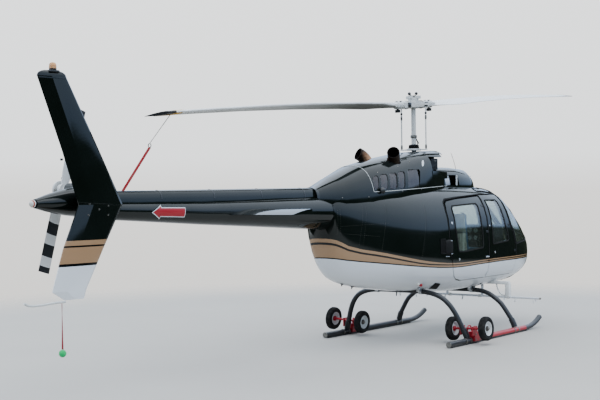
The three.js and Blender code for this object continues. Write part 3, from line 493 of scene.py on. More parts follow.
def begin(name, shader):
    """A new material, its shader and the places on its piece in metres."""
    material = bpy.data.materials.new(name)
    material.use_nodes = True
    tree = material.node_tree
    tree.nodes.clear()
    surface = add(tree, "BsdfPrincipled", shader)
    add(tree, "OutputMaterial", {"Surface": surface.outputs[0]})
    return material, tree, surface, add(tree, "TexCoord")


def grain(tree, place, size, detail=3.0, stretch=(1, 1, 1), rough=0.5):
    """Cloudy noise whose features are about size metres across."""
    turned = add(tree, "Mapping", {"Vector": place, "Scale": tuple(s / size for s in stretch)})
    return add(tree, "TexNoise", {"Vector": turned.outputs[0], "Scale": 1.0, "Detail": detail,
                                            "Roughness": rough}).outputs[0]


def joined(tree, surface, colour, rough, heights):
    """Joins a colour, a roughness and bumps, each a height, its depth in metres and its share, to the shader."""
    tree.links.new(colour, surface.inputs["Base Color"])
    if rough is not None:
        tree.links.new(rough, surface.inputs["Roughness"])
    normal = None
    for height, depth, share in heights:
        inputs = {"Height": height, "Distance": depth, "Strength": share}
        if normal is not None:
            inputs["Normal"] = normal
        normal = add(tree, "Bump", inputs).outputs[0]
    tree.links.new(normal, surface.inputs["Normal"])


def steps_in(tree, value, levels, colours):
    """Colours that change at each level of a value; colours has one more entry than levels."""
    result = colours[0]
    for level, colour in zip(levels, colours[1:]):
        past = add(tree, "Math", {0: value, 1: level}, operation="GREATER_THAN").outputs[0]
        result = add(tree, "Mix", {0: past, 6: result, 7: colour}, data_type="RGBA").outputs[2]
    return result


# Stripes on the body: station, then the height of each line from the green down to the white
STRIPES = [
    (2.5, 1.035, 1.02, 1.008, 0.995, 0.981), (1.93, 1.039, 1.024, 1.012, 0.998, 0.984),
    (1.22, 1.038, 1.023, 1.011, 0.996, 0.982), (0.62, 1.032, 1.017, 1.004, 0.988, 0.974),
    (0.08, 1.027, 1.01, 0.998, 0.978, 0.965), (-0.345, 1.051, 1.03, 1.015, 0.995, 0.981),
    (-0.79, 1.105, 1.072, 1.055, 1.033, 1.019), (-1.51, 1.24, 1.204, 1.182, 1.113, 1.099),
    (-1.95, 1.322, 1.285, 1.262, 1.165, 1.151), (-2.19, 1.432, 1.388, 1.362, 1.208, 1.194),
]
STRIPE_BASE = 0.6
BANDS = ("white", "line", "gold", "line", "gold", "green")


def body_stripes(tree, place):
    """Green above, white below and the gold and black lines between them, which rise to the tail."""
    axes = add(tree, "SeparateXYZ", {0: place})
    front, rear = STRIPES[0][0], STRIPES[-1][0]
    along = add(tree, "MapRange", {0: axes.outputs["X"], 1: rear + MAST_X, 2: front + MAST_X}).outputs[0]
    height = add(tree, "Math", {0: axes.outputs["Z"], 1: STRIPE_BASE}, operation="SUBTRACT").outputs[0]
    lines = []
    for first in (0, 3):
        stops = []
        for share in [k / 24 for k in range(25)]:
            values = row_at(STRIPES, rear + (front - rear) * share)[first:first + 3]
            stops.append((share, tuple(v - STRIPE_BASE for v in values) + (0.0,) * (3 - len(values)) + (1.0,)))
        ramp = add(tree, "ValToRGB", {"Fac": along}, stops)
        lines += list(add(tree, "SeparateColor", {0: ramp.outputs[0]}).outputs)
    return steps_in(tree, height, lines[4::-1], [tint(c) for c in BANDS])


def fin_bands(tree, place):
    """Green fin with a gold band between black lines and a white foot."""
    height = add(tree, "SeparateXYZ", {0: place}).outputs["Z"]
    return steps_in(tree, height, [1.347, 1.371, 1.519, 1.534, 1.58], [tint(c) for c in BANDS])


def tail_rotor_bands(tree, place):
    """White tail rotor blades with black bands and tips, by their distance from the hub."""
    reach = add(tree, "VectorMath", {0: place, 1: TAIL_HUB}, operation="DISTANCE").outputs["Value"]
    pale, dark = linear("#D9DAD8"), linear("#121315")
    return steps_in(tree, reach, [0.343, 0.455, 0.556, 0.673, 0.77], [pale, dark, pale, dark, pale, dark])


def enamel(name, colour, roughness=0.07, dust_and_sheen=0.025, coat=0.0, wear=0.0, index=1.52):
    """Two-pack polyurethane enamel, sprayed: a deep gloss with faint orange peel, and a pale grey-blue film on upward
    faces that is dust with a painted sky sheen.
    """
    material, tree, surface, coords = begin(name, {"Coat Weight": coat, "Coat Roughness": 0.03, "IOR": index})
    place = coords.outputs["Object"]
    colour = colour(tree, place) if callable(colour) else tint(colour)
    clouds = grain(tree, place, 0.45, 4.0)
    upward = add(tree, "SeparateXYZ", {0: coords.outputs["Normal"]}).outputs["Z"]
    # Upward faces are painted paler grey-blue: partly settled dust, partly a painted sheen of the sky
    dust_and_sky_sheen = add(tree, "MapRange", {0: upward, 1: -0.2, 2: 1.0, 3: dust_and_sheen * 0.5, 4: dust_and_sheen * 2}).outputs[0]
    film = add(tree, "Math", {0: clouds, 1: dust_and_sky_sheen}, operation="MULTIPLY").outputs[0]
    shown = add(tree, "Mix", {0: film, 6: colour, 7: linear("#AEB4BC")}, data_type="RGBA").outputs[2]
    if wear:
        specks = grain(tree, place, 0.012, 6.0, rough=0.7)
        chips = add(tree, "MapRange", {0: specks, 1: 0.72 - wear, 2: 0.76 - wear}).outputs[0]
        shown = add(tree, "Mix", {0: chips, 6: shown, 7: linear("#4A4743")}, data_type="RGBA").outputs[2]
    dulled = add(tree, "MapRange", {0: clouds, 1: 0.3, 2: 0.7, 3: roughness * 0.8, 4: roughness * 1.5}).outputs[0]
    # Orange peel is 2 to 4 mm across and is drawn at 25 mm, with slow waves of the thin sheet under it
    joined(tree, surface, shown, dulled,
           [(grain(tree, place, 0.3, 1.0), 0.004, 0.22), (grain(tree, place, 0.025, 1.0), 0.0004, 0.2)])
    return material


def rotor_paint(name, tip):
    """Rotor blade paint: satin white above, olive black below, with a black tip and grime along the span."""
    material, tree, surface, coords = begin(name, {"IOR": 1.5})
    place = coords.outputs["Object"]
    upward = add(tree, "SeparateXYZ", {0: coords.outputs["Normal"]}).outputs["Z"]
    streaks = grain(tree, place, 0.05, 4.0, (0.08, 1, 1))
    worn = add(tree, "MapRange", {0: streaks, 1: 0.45, 2: 0.8, 3: 0.0, 4: 0.35}).outputs[0]
    pale = add(tree, "Mix", {0: worn, 6: linear("#E2E3E2"), 7: linear("#A9A7A0")}, data_type="RGBA").outputs[2]
    dark = add(tree, "Mix", {0: worn, 6: linear("#4A4A41"), 7: linear("#5E5D52")}, data_type="RGBA").outputs[2]
    reach = add(tree, "VectorMath", {0: place, 1: HUB}, operation="DISTANCE").outputs["Value"]
    # The outer half is painted paler underneath, growing paler towards the tip
    paler_outboard = add(tree, "MapRange", {0: reach, 1: 1.4, 2: 3.6, 3: 0.0, 4: 0.85}).outputs[0]
    dark = add(tree, "Mix", {0: paler_outboard, 6: dark, 7: pale}, data_type="RGBA").outputs[2]
    under = add(tree, "MapRange", {0: upward, 1: -0.8, 2: -0.97}).outputs[0]
    shown = add(tree, "Mix", {0: under, 6: pale, 7: dark}, data_type="RGBA").outputs[2]
    end = add(tree, "Math", {0: reach, 1: tip}, operation="GREATER_THAN").outputs[0]
    shown = add(tree, "Mix", {0: end, 6: shown, 7: linear("#0D0E0F")}, data_type="RGBA").outputs[2]
    dulled = add(tree, "MapRange", {0: streaks, 1: 0.3, 2: 0.8, 3: 0.34, 4: 0.55}).outputs[0]
    joined(tree, surface, shown, dulled, [(streaks, 0.0008, 0.3)])
    return material


def bare_metal(name, colour, roughness=0.35, tarnish="#2A2724", amount=0.35, size=0.03):
    """Bare aluminium or steel as it left the tools, with fine brushing and patches of dull oxide."""
    material, tree, surface, coords = begin(name, {"Metallic": 1.0})
    place = coords.outputs["Object"]
    patches = grain(tree, place, size, 5.0)
    # Brush marks are about 0.5 mm apart and are drawn at 4 mm
    brushing = grain(tree, place, 0.004, 2.0, (0.1, 1, 1))
    share = add(tree, "MapRange", {0: patches, 1: 0.42, 2: 0.75, 3: 0.0, 4: amount}).outputs[0]
    shown = add(tree, "Mix", {0: share, 6: linear(colour), 7: linear(tarnish)}, data_type="RGBA").outputs[2]
    dulled = add(tree, "MapRange", {0: patches, 1: 0.3, 2: 0.75, 3: roughness * 0.75, 4: roughness * 1.5}).outputs[0]
    joined(tree, surface, shown, dulled, [(brushing, 0.0004, 0.35)])
    return material


def burnt_steel(name, stops, metal=0.45, size=0.05):
    """Stainless exhaust pipe scaled and tanned by heat, with straw and copper patches, and soot with painted shade
    outboard towards the mouth.
    """
    material, tree, surface, coords = begin(name, {"Metallic": metal})
    place = coords.outputs["Object"]
    clouds = grain(tree, place, size, 5.0)
    apart = add(tree, "Math", {0: add(tree, "SeparateXYZ", {0: place}).outputs["Y"]},
                operation="ABSOLUTE").outputs[0]
    # Outboard, towards the mouth, the pipe is painted near black: partly soot, partly painted shade
    soot_and_shade = add(tree, "MapRange", {0: apart, 1: 0.14, 2: 0.2, 3: 0.0, 4: 0.95}).outputs[0]
    scale = add(tree, "ValToRGB", {"Fac": clouds}, stops).outputs[0]
    shown = add(tree, "Mix", {0: soot_and_shade, 6: scale, 7: linear("#17110D")}, data_type="RGBA").outputs[2]
    dulled = add(tree, "MapRange", {0: clouds, 1: 0.3, 2: 0.7, 3: 0.4, 4: 0.7}).outputs[0]
    joined(tree, surface, shown, dulled, [(clouds, 0.002, 0.3), (grain(tree, place, 0.006, 3.0), 0.0005, 0.4)])
    return material


def pane(name, cast, haze=0.04):
    """Stretched acrylic glazing: clear with a cast, mirror-bright at a slant, with faint dusty wipes."""
    material, tree, surface, coords = begin(name, {"Base Color": linear("#8E938F"), "Roughness": 0.6})
    output = next(n for n in tree.nodes if n.type == "OUTPUT_MATERIAL")
    slant = add(tree, "LayerWeight", {"Blend": 0.5}).outputs["Facing"]
    # Both faces of a pane mirror, which together give about 8 % straight on
    rise = add(tree, "Math", {0: slant, 1: 3.6}, operation="POWER").outputs[0]
    share = add(tree, "MapRange", {0: rise, 1: 0.0, 2: 1.0, 3: 0.07, 4: 1.0}).outputs[0]
    clear = add(tree, "BsdfTransparent", {"Color": linear(cast)})
    wipes = grain(tree, coords.outputs["Object"], 0.12, 4.0, (0.4, 1, 1))
    hazy = add(tree, "MapRange", {0: wipes, 1: 0.4, 2: 0.8, 3: haze * 0.3, 4: haze * 2}).outputs[0]
    mirror = add(tree, "BsdfAnisotropic", {"Roughness": 0.03})
    dusty = add(tree, "MixShader", {0: hazy, 1: clear.outputs[0], 2: surface.outputs[0]})
    whole = add(tree, "MixShader", {0: share, 1: dusty.outputs[0], 2: mirror.outputs[0]})
    tree.links.new(whole.outputs[0], output.inputs["Surface"])
    return material


def rubber(name, dusty=0.35, size=0.01):
    """Moulded rubber: near black and dull, greyed by dust where it is worn."""
    material, tree, surface, coords = begin(name, {"Roughness": 0.85, "IOR": 1.5})
    place = coords.outputs["Object"]
    clouds = grain(tree, place, 0.05, 5.0)
    worn = add(tree, "MapRange", {0: clouds, 1: 0.4, 2: 0.8, 3: 0.0, 4: dusty}).outputs[0]
    shown = add(tree, "Mix", {0: worn, 6: linear("#0D0D0D"), 7: linear("#6B675F")}, data_type="RGBA").outputs[2]
    joined(tree, surface, shown, None, [(grain(tree, place, size, 3.0), 0.0008, 0.4)])
    return material


def moulded(name, colour, roughness=0.6, size=0.004, depth=0.0005, glow=0.0):
    """Moulded ABS or vinyl with a fine leather grain, drawn a few times coarser than the real 1 mm."""
    base = linear(colour)
    material, tree, surface, coords = begin(name, {"IOR": 1.5, "Subsurface Weight": glow,
                                                   "Subsurface Radius": base[:3], "Subsurface Scale": 0.01})
    place = coords.outputs["Object"]
    cells = add(tree, "TexVoronoi", {"Vector": place, "Scale": 1 / size}).outputs["Distance"]
    clouds = grain(tree, place, 0.2, 3.0)
    darker = tuple(c * 0.72 for c in base[:3]) + (1.0,)
    shown = add(tree, "Mix", {0: clouds, 6: darker, 7: base}, data_type="RGBA").outputs[2]
    dulled = add(tree, "MapRange", {0: clouds, 1: 0.3, 2: 0.7, 3: roughness * 0.85, 4: roughness * 1.1}).outputs[0]
    joined(tree, surface, shown, dulled, [(cells, depth, 0.5)])
    return material


def woven(name, colour, other, thread=0.004, sheen=0.3):
    """Woven cloth or webbing: warp and weft threads that cross, with a soft sheen and faded patches."""
    material, tree, surface, coords = begin(name, {"Roughness": 0.9, "Sheen Weight": sheen, "Sheen Roughness": 0.4})
    place = coords.outputs["Object"]
    # Threads are about 1 mm apart and are drawn at 4 mm
    waves = [add(tree, "TexWave", {"Vector": place, "Scale": 0.32 / thread, "Distortion": 0.6},
                 bands_direction=direction).outputs["Fac"] for direction in ("X", "Y", "Z")]
    crossing = add(tree, "Math", {0: waves[0], 1: waves[2]}, operation="MULTIPLY").outputs[0]
    crossing = add(tree, "Math", {0: crossing, 1: waves[1]}, operation="ADD").outputs[0]
    threads = add(tree, "MapRange", {0: crossing, 1: 0.2, 2: 1.4, 3: 0.0, 4: 0.6}).outputs[0]
    shown = add(tree, "Mix", {0: threads, 6: linear(colour), 7: linear(other)}, data_type="RGBA").outputs[2]
    patches = grain(tree, place, 0.09, 4.0)
    faded = add(tree, "MapRange", {0: patches, 1: 0.4, 2: 0.75, 3: 0.0, 4: 0.22}).outputs[0]
    shown = add(tree, "Mix", {0: faded, 6: shown, 7: linear("#8C867C")}, data_type="RGBA").outputs[2]
    joined(tree, surface, shown, None, [(crossing, 0.0008, 0.6)])
    return material


def wire_mesh(name):
    """Woven wire screen over the intake: grey wires with painted shade in the dark gaps between them, 6 mm apart and
    drawn at 18 mm.
    """
    material, tree, surface, coords = begin(name, {"Metallic": 0.4})
    place = coords.outputs["Object"]
    waves = [add(tree, "TexWave", {"Vector": place, "Scale": 0.32 / 0.018},
                 bands_direction=direction).outputs["Fac"] for direction in ("X", "Z")]
    wires = add(tree, "Math", {0: waves[0], 1: waves[1]}, operation="MAXIMUM").outputs[0]
    # The gaps between the wires are painted near black, as the shade seen through the screen
    shown = add(tree, "ValToRGB", {"Fac": wires}, [(0.72, "#060607"), (0.86, "#3C4043")]).outputs[0]
    dulled = add(tree, "MapRange", {0: wires, 1: 0.4, 2: 0.9, 3: 0.9, 4: 0.45}).outputs[0]
    joined(tree, surface, shown, dulled, [(wires, 0.003, 0.8)])
    return material


FINISHES = {}


def finish_named(name):
    """Makes each finish once, when the first piece asks for it."""
    if name not in FINISHES:
        maker, *rest = RECIPES[name]
        FINISHES[name] = maker(name, *rest)
    return FINISHES[name]


RECIPES = {
    "striped_enamel": (enamel, body_stripes),
    "fin_enamel": (enamel, fin_bands),
    "green_enamel": (enamel, "green"),
    "white_enamel": (enamel, "white", 0.3, 0.1, 0.3),
    "red_enamel": (enamel, "red", 0.35, 0.1, 0.2, 0.06),
    "black_enamel": (enamel, "#0A0B0C", 0.32, 0.1, 0.2, 0.02),
    "blade_paint": (rotor_paint, 4.955),
    "tail_blade_paint": (enamel, tail_rotor_bands, 0.3, 0.1, 0.2),
    "hub_paint": (enamel, "#C9CAC7", 0.36, 0.2, 0.1, 0.04),
    "aluminium": (bare_metal, "#C2C4C6", 0.3, "#6E6C68", 0.4),
    "steel": (bare_metal, "#8C8983", 0.4),
    "chrome": (bare_metal, "#D8DADC", 0.12, "#8A8A88", 0.2),
    "engine_casting": (bare_metal, "#6F6B66", 0.5, "#1D1A17", 0.7, 0.08),
    "tanned_steel": (burnt_steel, [(0.3, "#7A5138"), (0.45, "#B98A66"), (0.58, "#CFA786"), (0.75, "#A47C5E")]),
    "exhaust_soot": (burnt_steel, [(0.3, "#050505"), (0.45, "#0B0A09"), (0.6, "#141210"), (0.75, "#1D1815")], 0.0),
    "clear_acrylic": (pane, "#E6EDEC"),
    "tinted_acrylic": (pane, "#8CBEC2", 0.08),
    "smoked_acrylic": (pane, "#B7A0A0", 0.06),
    "tyre_rubber": (rubber, 0.22, 0.006),
    "seal_rubber": (rubber, 0.08, 0.008),
    "seat_cloth": (woven, "#28577A", "#4F7F9F"),
    "bench_cloth": (woven, "#5E6870", "#8E979D"),
    "cabin_lining": (moulded, "#DDD7C8", 0.7, 0.008),
    "matt_black": (moulded, "#08090A", 0.7, 0.005),
    "console_plastic": (moulded, "#17181A", 0.55, 0.005),
    "dial_plastic": (moulded, "#DCDCD6", 0.5, 0.003),
    "white_plastic": (moulded, "#F0F0EC", 0.5, 0.006),
    "brown_hose": (moulded, "#B4503C", 0.5, 0.004),
    "red_webbing": (woven, "#7E0F16", "#B0222B", 0.0035),
    "green_felt": (woven, "#1FA45B", "#3CCB7C", 0.004, 0.6),
    "yellow_clip": (moulded, "#D9A514", 0.5, 0.006),
    "amber_lens": (moulded, "#D9A878", 0.15, 0.012, 0.0004, 0.5),
    "clear_lens": (moulded, "#E2E0D8", 0.1, 0.012, 0.0003, 0.2),
    "intake_screen": (wire_mesh,),
}

# Stage

CAMERA = Vector((-12.4305, -8.116, 1.993))
CAMERA_TURN = (math.radians(37.059), math.radians(-0.369), math.radians(-0.711))
LENS = 68.105


def camera_matrix():
    yaw, pitch, roll = CAMERA_TURN
    ahead = Vector((math.cos(yaw) * math.cos(pitch), math.sin(yaw) * math.cos(pitch), math.sin(pitch)))
    right = Vector((math.sin(yaw), -math.cos(yaw), 0.0))
    up = right.cross(ahead)
    across = right * math.cos(roll) + up * math.sin(roll)
    over = up * math.cos(roll) - right * math.sin(roll)
    return Matrix.Translation(CAMERA) @ Matrix((across, over, -ahead)).transposed().to_4x4()


def make_stage(settings):
    """Floor, sky, soft lamps and the camera."""
    scene = bpy.context.scene
    scene.view_settings.look = "AgX - Medium High Contrast"
    camera = bpy.data.objects.new("camera", bpy.data.cameras.new("camera"))
    camera.data.lens = LENS
    camera.data.sensor_width = 36.0
    camera.data.sensor_fit = "HORIZONTAL"
    camera.data.clip_end = 500.0
    camera.matrix_world = camera_matrix()
    scene.collection.objects.link(camera)
    scene.camera = camera

    bm = bmesh.new()
    bmesh.ops.create_circle(bm, cap_ends=True, segments=64, radius=settings.floor_radius)
    mesh = bpy.data.meshes.new("floor")
    bm.to_mesh(mesh)
    bm.free()
    floor = bpy.data.objects.new("floor", mesh)
    material, tree, surface, coords = begin("floor_concrete", {"Roughness": 0.9})
    clouds = grain(tree, coords.outputs["Object"], 1.6, 5.0)
    base = tint("floor")
    darker = tuple(c * 0.92 for c in base[:3]) + (1.0,)
    shown = add(tree, "Mix", {0: clouds, 6: darker, 7: base}, data_type="RGBA").outputs[2]
    tree.links.new(shown, surface.inputs["Base Color"])
    # The floor fades into the backdrop at its rim, like a studio's curved paper
    far = add(tree, "VectorMath", {0: coords.outputs["Object"]}, operation="LENGTH").outputs["Value"]
    fade = add(tree, "MapRange", {0: far, 1: settings.floor_radius * 0.6, 2: settings.floor_radius,
                                            3: 1.0, 4: 0.0}, interpolation_type="SMOOTHSTEP").outputs[0]
    tree.links.new(fade, surface.inputs["Alpha"])
    mesh.materials.append(material)
    scene.collection.objects.link(floor)

    world = bpy.data.worlds.new("studio")
    scene.world = world
    world.use_nodes = True
    tree = world.node_tree
    tree.nodes.clear()
    up = add(tree, "SeparateXYZ", {0: add(tree, "TexCoord").outputs["Generated"]}).outputs["Z"]
    height = add(tree, "MapRange", {0: up, 1: -0.1, 2: 1.0}).outputs[0]
    # A bright sky over a dark far wall, as glossy paint mirrors them
    sky = add(tree, "ValToRGB", {"Fac": height},
              [(0.15, "#2B3029"), (0.172, "#9DB2D0"), (0.4, "#C9D8EC"), (0.8, "#EAF1FA")]).outputs[0]
    light = add(tree, "Background", {"Color": sky, "Strength": settings.sky_strength})
    wall = add(tree, "ValToRGB", {"Fac": height},
               [(0.0, "#C9C8C5"), (0.09, "#D2D1CF"), (0.12, "#E2E4E5"), (0.4, "#EEF0F1")]).outputs[0]
    backdrop = add(tree, "Background", {"Color": wall, "Strength": settings.backdrop_strength})
    seen = add(tree, "LightPath").outputs["Is Camera Ray"]
    whole = add(tree, "MixShader", {0: seen, 1: light.outputs[0], 2: backdrop.outputs[0]})
    add(tree, "OutputWorld", {"Surface": whole.outputs[0]})

    for name, place, size, power in (
            ("lamp_over", (-3.0, -4.0, 11.0), 12.0, settings.lamp_power),
            ("lamp_behind", (-12.0, 6.0, 7.0), 8.0, settings.lamp_power * 0.35)):
        lamp = bpy.data.objects.new(name, bpy.data.lights.new(name, "AREA"))
        lamp.data.shape = "DISK"
        lamp.data.size = size
        lamp.data.energy = power
        lamp.matrix_world = turn_to(Vector(place) - Vector((0, 0, 1)), place)
        scene.collection.objects.link(lamp)


# Pieces


def make_flag_strap(sizes):
    """Webbing strap that hangs from the fin's foot, with its felt ball."""
    top, bottom = at(-6.47, FIN_Y, 1.017), at(-6.47, FIN_Y, 0.602)
    width, thick = sizes.strap_width, 0.0035
    count = 24
    points = [top.lerp(bottom, k / count) for k in range(count + 1)]
    sides = [Matrix.Rotation(math.radians(38 + 50 * k / count), 3, "Z") @ Vector((0, 1, 0)) for k in range(count + 1)]
    bm = bmesh.new()
    section = [(-width / 2, -thick / 2), (width / 2, -thick / 2), (width / 2, thick / 2), (-width / 2, thick / 2)]
    sweep(bm, section, path_places(points, sides))
    strap = finished("warning_strap", bm, "red_webbing")
    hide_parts("flag_strap")

    bm = bmesh.new()
    centre = bottom - Vector((0, 0, 0.0364))
    ball(bm, centre, 0.0345, subdivisions=4)
    for vert in bm.verts:
        out = (vert.co - centre).normalized()
        vert.co += out * 0.0012 * math.sin(9 * out.x + 2) * math.sin(8 * out.y) * math.sin(10 * out.z + 1)
    flag = finished("flag_ball_felt", bm, "green_felt")
    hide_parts("flag_ball")


def dress_cabin(sizes):
    """The cabin's shell, its doors and its panes."""
    dressed("lower_hull", "striped_enamel", body_normal, lining="cabin_lining")
    dressed("cabin_top", "striped_enamel", body_normal, lining="cabin_lining")
    for side in SIDES:
        for place in ("front", "rear"):
            dressed(f"{place}_door_{side}", "striped_enamel", body_normal, lining="cabin_lining")
            dressed(f"{place}_door_glass_{side}", "clear_acrylic", body_normal, 20)
        dressed(f"windshield_{side}", "clear_acrylic", body_normal, 20)
        for place in ("roof", "chin"):
            dressed(f"{place}_window_{side}", "tinted_acrylic", body_normal, 20)


def make_seals(sizes):
    """Rubber seals round the doors, the panes and the windshield, with stop flanges over the doors."""
    seal = rounded(0.014, 0.004)
    edge = rounded(0.02, 0.006)
    for side, sign in SIDES.items():
        for place in DOORS:
            bm = bmesh.new()
            outline = spaced(moved_out(DOORS[place], 0.009), 0.035)
            lowest = outline.index(min(outline, key=lambda p: p[1]))
            outline = [p for p in outline[lowest:] + outline[:lowest] if p[1] > 1.04]
            strip(bm, [on_body(x, z, sign) for x, z in outline], seal)
            finished(f"{place}_door_seal_{side}", bm, "seal_rubber")
            # Stop flange behind the gap over the door
            bm = bmesh.new()
            top = [(x, z) for x, z in outline if z > 1.78]
            strip(bm, [on_body(x, z, sign, lift=-0.03) for x, z in top], rounded(0.08, 0.004))
            finished(f"{place}_door_stop_{side}", bm, "seal_rubber")
            node = f"{place}_door_{side}"
            bm = bmesh.new()
            outline = spaced(moved_out(WINDOWS[place], 0.004), 0.035)
            strip(bm, [on_body(x, z, sign, (node,)) for x, z in outline], edge, closed=True)
            finished(f"{place}_window_seal_{side}", bm, "seal_rubber", node)

        bm = bmesh.new()
        up = spaced([(2.56, 1.4), (2.33, 1.252), (2.1, 1.238), (1.784, 1.212), (1.71, 1.375), (1.62, 1.545),
                     (1.592, 1.73), (1.59, 1.96)], 0.04, closed=False)
        spots = [on_body(x, z, sign) for x, z in up]
        reach = abs(spots[-1][0].y)
        spots += [above(body_form, body_normal, 1.595 + 0.015 * k / 5, sign * (reach + (0.034 - reach) * k / 5), SHELL)
                  for k in range(1, 6)]
        spots += [above(body_form, body_normal, 1.61 + 0.95 * k / 24, sign * 0.034, SHELL) for k in range(1, 25)]
        strip(bm, spots, edge, closed=True)
        finished(f"windshield_seal_{side}", bm, "seal_rubber")
        for place, outline, under in (("roof", ROOF_WINDOW, False), ("chin", CHIN_WINDOW, True)):
            bm = bmesh.new()
            outline = spaced(moved_out(outline, 0.004) if outline is CHIN_WINDOW else outline, 0.035)
            strip(bm, [above(body_form, body_normal, x, sign * y, SHELL, under=under) for x, y in outline], edge,
                  closed=True)
            finished(f"{place}_window_seal_{side}", bm, "seal_rubber")


def make_door_hardware(sizes):
    """Locks, latches, levers and hinges on the doors."""
    for side, sign in SIDES.items():
        for place, spots in (("front", ((1.063, 1.121, 0.017), (0.935, 1.5, 0.011))),
                             ("rear", ((-0.09, 1.564, 0.019), (0.064, 1.072, 0.019), (-0.128, 1.2, 0.011)))):
            node = f"{place}_door_{side}"
            bm = bmesh.new()
            for x, z, radius in spots:
                point, out = on_body(x, z, sign, (node,))
                lathe(bm, [(0, 0.003), (radius * 0.35, 0.003), (radius * 0.42, 0.006), (radius * 0.8, 0.006),
                           (radius * 0.95, 0.004), (radius, -0.003)], seat_on(point, out), 24)
            if place == "rear":
                point, out = on_body(0.83, 1.071, sign, (node,))
                turn = seat_on(point, out)
                block(bm, (-0.042, -0.011, -0.002), (0.042, 0.011, 0.007), 0.004, turn)
                rod(bm, turn @ Vector((-0.03, 0, 0.011)), turn @ Vector((0.036, 0, 0.011)), 0.006, segments=12)
            finished(f"{place}_door_locks_{side}", bm, "chrome", node)

            bm = bmesh.new()
            for x, z in ((1.716, 1.119), (1.55, 1.5)) if place == "front" else ((0.848, 1.42), (0.848, 1.78)):
                point, out = on_body(x, z, sign, (node,))
                turn = seat_on(point, out)
                block(bm, (-0.03, -0.017, -0.003), (0.012, 0.017, 0.004), 0.0018, turn)
                rod(bm, turn @ Vector((0.014, -0.02, 0.003)), turn @ Vector((0.014, 0.02, 0.003)), 0.006, segments=12)
                for v in (-0.01, 0.01):
                    rivet(bm, turn @ Vector((-0.02, v, 0.004)), out, 0.003)
            finished(f"{place}_door_hinges_{side}", bm, "black_enamel", node)


def make_rear_fittings(sizes):
    """Louvres, air scoops, rubbing bars, panel seams and rivets behind the doors."""
    for side, sign in SIDES.items():
        bm = bmesh.new()
        point, out = on_body(-0.35, 1.265, sign, lift=0.002)
        turn = seat_on(point, out)
        block(bm, (-0.056, -0.098, -0.02), (0.056, 0.098, 0.001), 0.003, turn)
        for low, high in (((-0.058, -0.1, 0), (-0.05, 0.1, 0.008)), ((0.05, -0.1, 0), (0.058, 0.1, 0.008)),
                          ((-0.058, 0.092, 0), (0.058, 0.1, 0.008)), ((-0.058, -0.1, 0), (0.058, -0.092, 0.008))):
            block(bm, low, high, 0.002, turn)
        for k in range(9):
            tilted = turn @ Matrix.Translation((0, -0.08 + 0.02 * k, 0.004)) @ Matrix.Rotation(-0.6 * sign, 4, "X")
            block(bm, (-0.052, -0.01, -0.001), (0.052, 0.01, 0.0015), 0.0005, tilted, 1)
        finished(f"side_louvre_{side}", bm, "matt_black")

        bm = bmesh.new()
        point, out = on_body(-0.24, 1.248, sign)
        turn = seat_on(point, out)
        ring = []
        # The scoop's arch in shares of its half width and height, at four stations along it
        arch = ((-1, -0.2), (-0.98, 0.5), (-0.85, 0.86), (-0.6, 1), (0, 1.03), (0.6, 1), (0.85, 0.86), (0.98, 0.5),
                (1, -0.2))
        for x, half, high in ((-0.052, 0.086, 0.004), (-0.03, 0.094, 0.026), (0.0, 0.099, 0.045),
                              (0.046, 0.103, 0.057)):
            ring.append([turn @ Vector((x, half * u, high * v)) for u, v in arch])
        loops = []
        for points in ring:
            verts = [bm.verts.new(p) for p in points]
            loops.append([bm.edges.new(pair) for pair in zip(verts, verts[1:])])
        for first, second in zip(loops, loops[1:]):
            bmesh.ops.bridge_loops(bm, edges=first + second)
        bmesh.ops.recalc_face_normals(bm, faces=bm.faces)
        bmesh.ops.solidify(bm, geom=bm.faces[:], thickness=0.003)
        finished(f"air_scoop_{side}", bm, "matt_black", sharp=40)

        bm = bmesh.new()
        point, out = on_body(-0.24, 1.127, sign)
        block(bm, (-0.05, -0.005, -0.002), (0.05, 0.005, 0.005), 0.002, seat_on(point, out))
        for u in (-0.085, 0.085):
            point, out = on_body(-0.24, 1.248 + u, sign)
            place = seat_on(point + out * 0.05, out)
            block(bm, (0.0, -0.005, -0.004), (0.04, 0.005, 0.009), 0.003, place)
        finished(f"rubbing_bars_{side}", bm, "chrome")

        bm = bmesh.new()
        for line in ([(-2.142, 1.546), (-0.391, 1.418)], [(-1.364, 1.826), (-1.482, 1.269)],
                     [(-1.737, 1.832), (-1.82, 1.344)], [(-0.613, 1.813), (-0.77, 1.135)]):
            if side == "left" and line[0][0] in (-1.364, -0.613):
                continue
            seam = [on_body(x, z, sign, ("rear_body",)) for x, z in spaced(line, 0.04, False)]
            strip(bm, seam, rounded(0.003, 0.001))
        finished(f"panel_seams_{side}", bm, "green_enamel")

        bm = bmesh.new()
        for line in ([(-2.155, 1.775), (-2.155, 1.489)], [(-2.12, 1.78), (-2.12, 1.5)], [(-2.1, 1.578), (-1.39, 1.599)],
                     [(-0.64, 1.8), (-0.8, 1.14)], [(-1.39, 1.82), (-1.51, 1.27)], [(-1.71, 1.83), (-1.79, 1.35)],
                     [(-1.76, 1.83), (-1.85, 1.35)], [(-2.1, 1.49), (-1.55, 1.44)]):
            for x, z in spaced(line, sizes.rivet_pitch, False):
                if side == "right" or not -1.33 < x < -0.66:
                    rivet(bm, *on_body(x, z, sign, ("rear_body",)))
        finished(f"skin_rivets_{side}", bm, "engine_casting")

    point, out = on_body(-0.99, 1.475, 1, ("baggage_door",))
    bm = bmesh.new()
    block(bm, (-0.045, -0.012, -0.002), (0.045, 0.012, 0.007), 0.004, seat_on(point, out))
    for x in (-1.25, -0.74):
        point, out = on_body(x, 1.25, 1, ("baggage_door",))
        lathe(bm, [(0, 0.004), (0.012, 0.004), (0.015, 0.002), (0.016, -0.002)], seat_on(point, out), 20)
    finished("baggage_door_latches", bm, "chrome", "baggage_door")


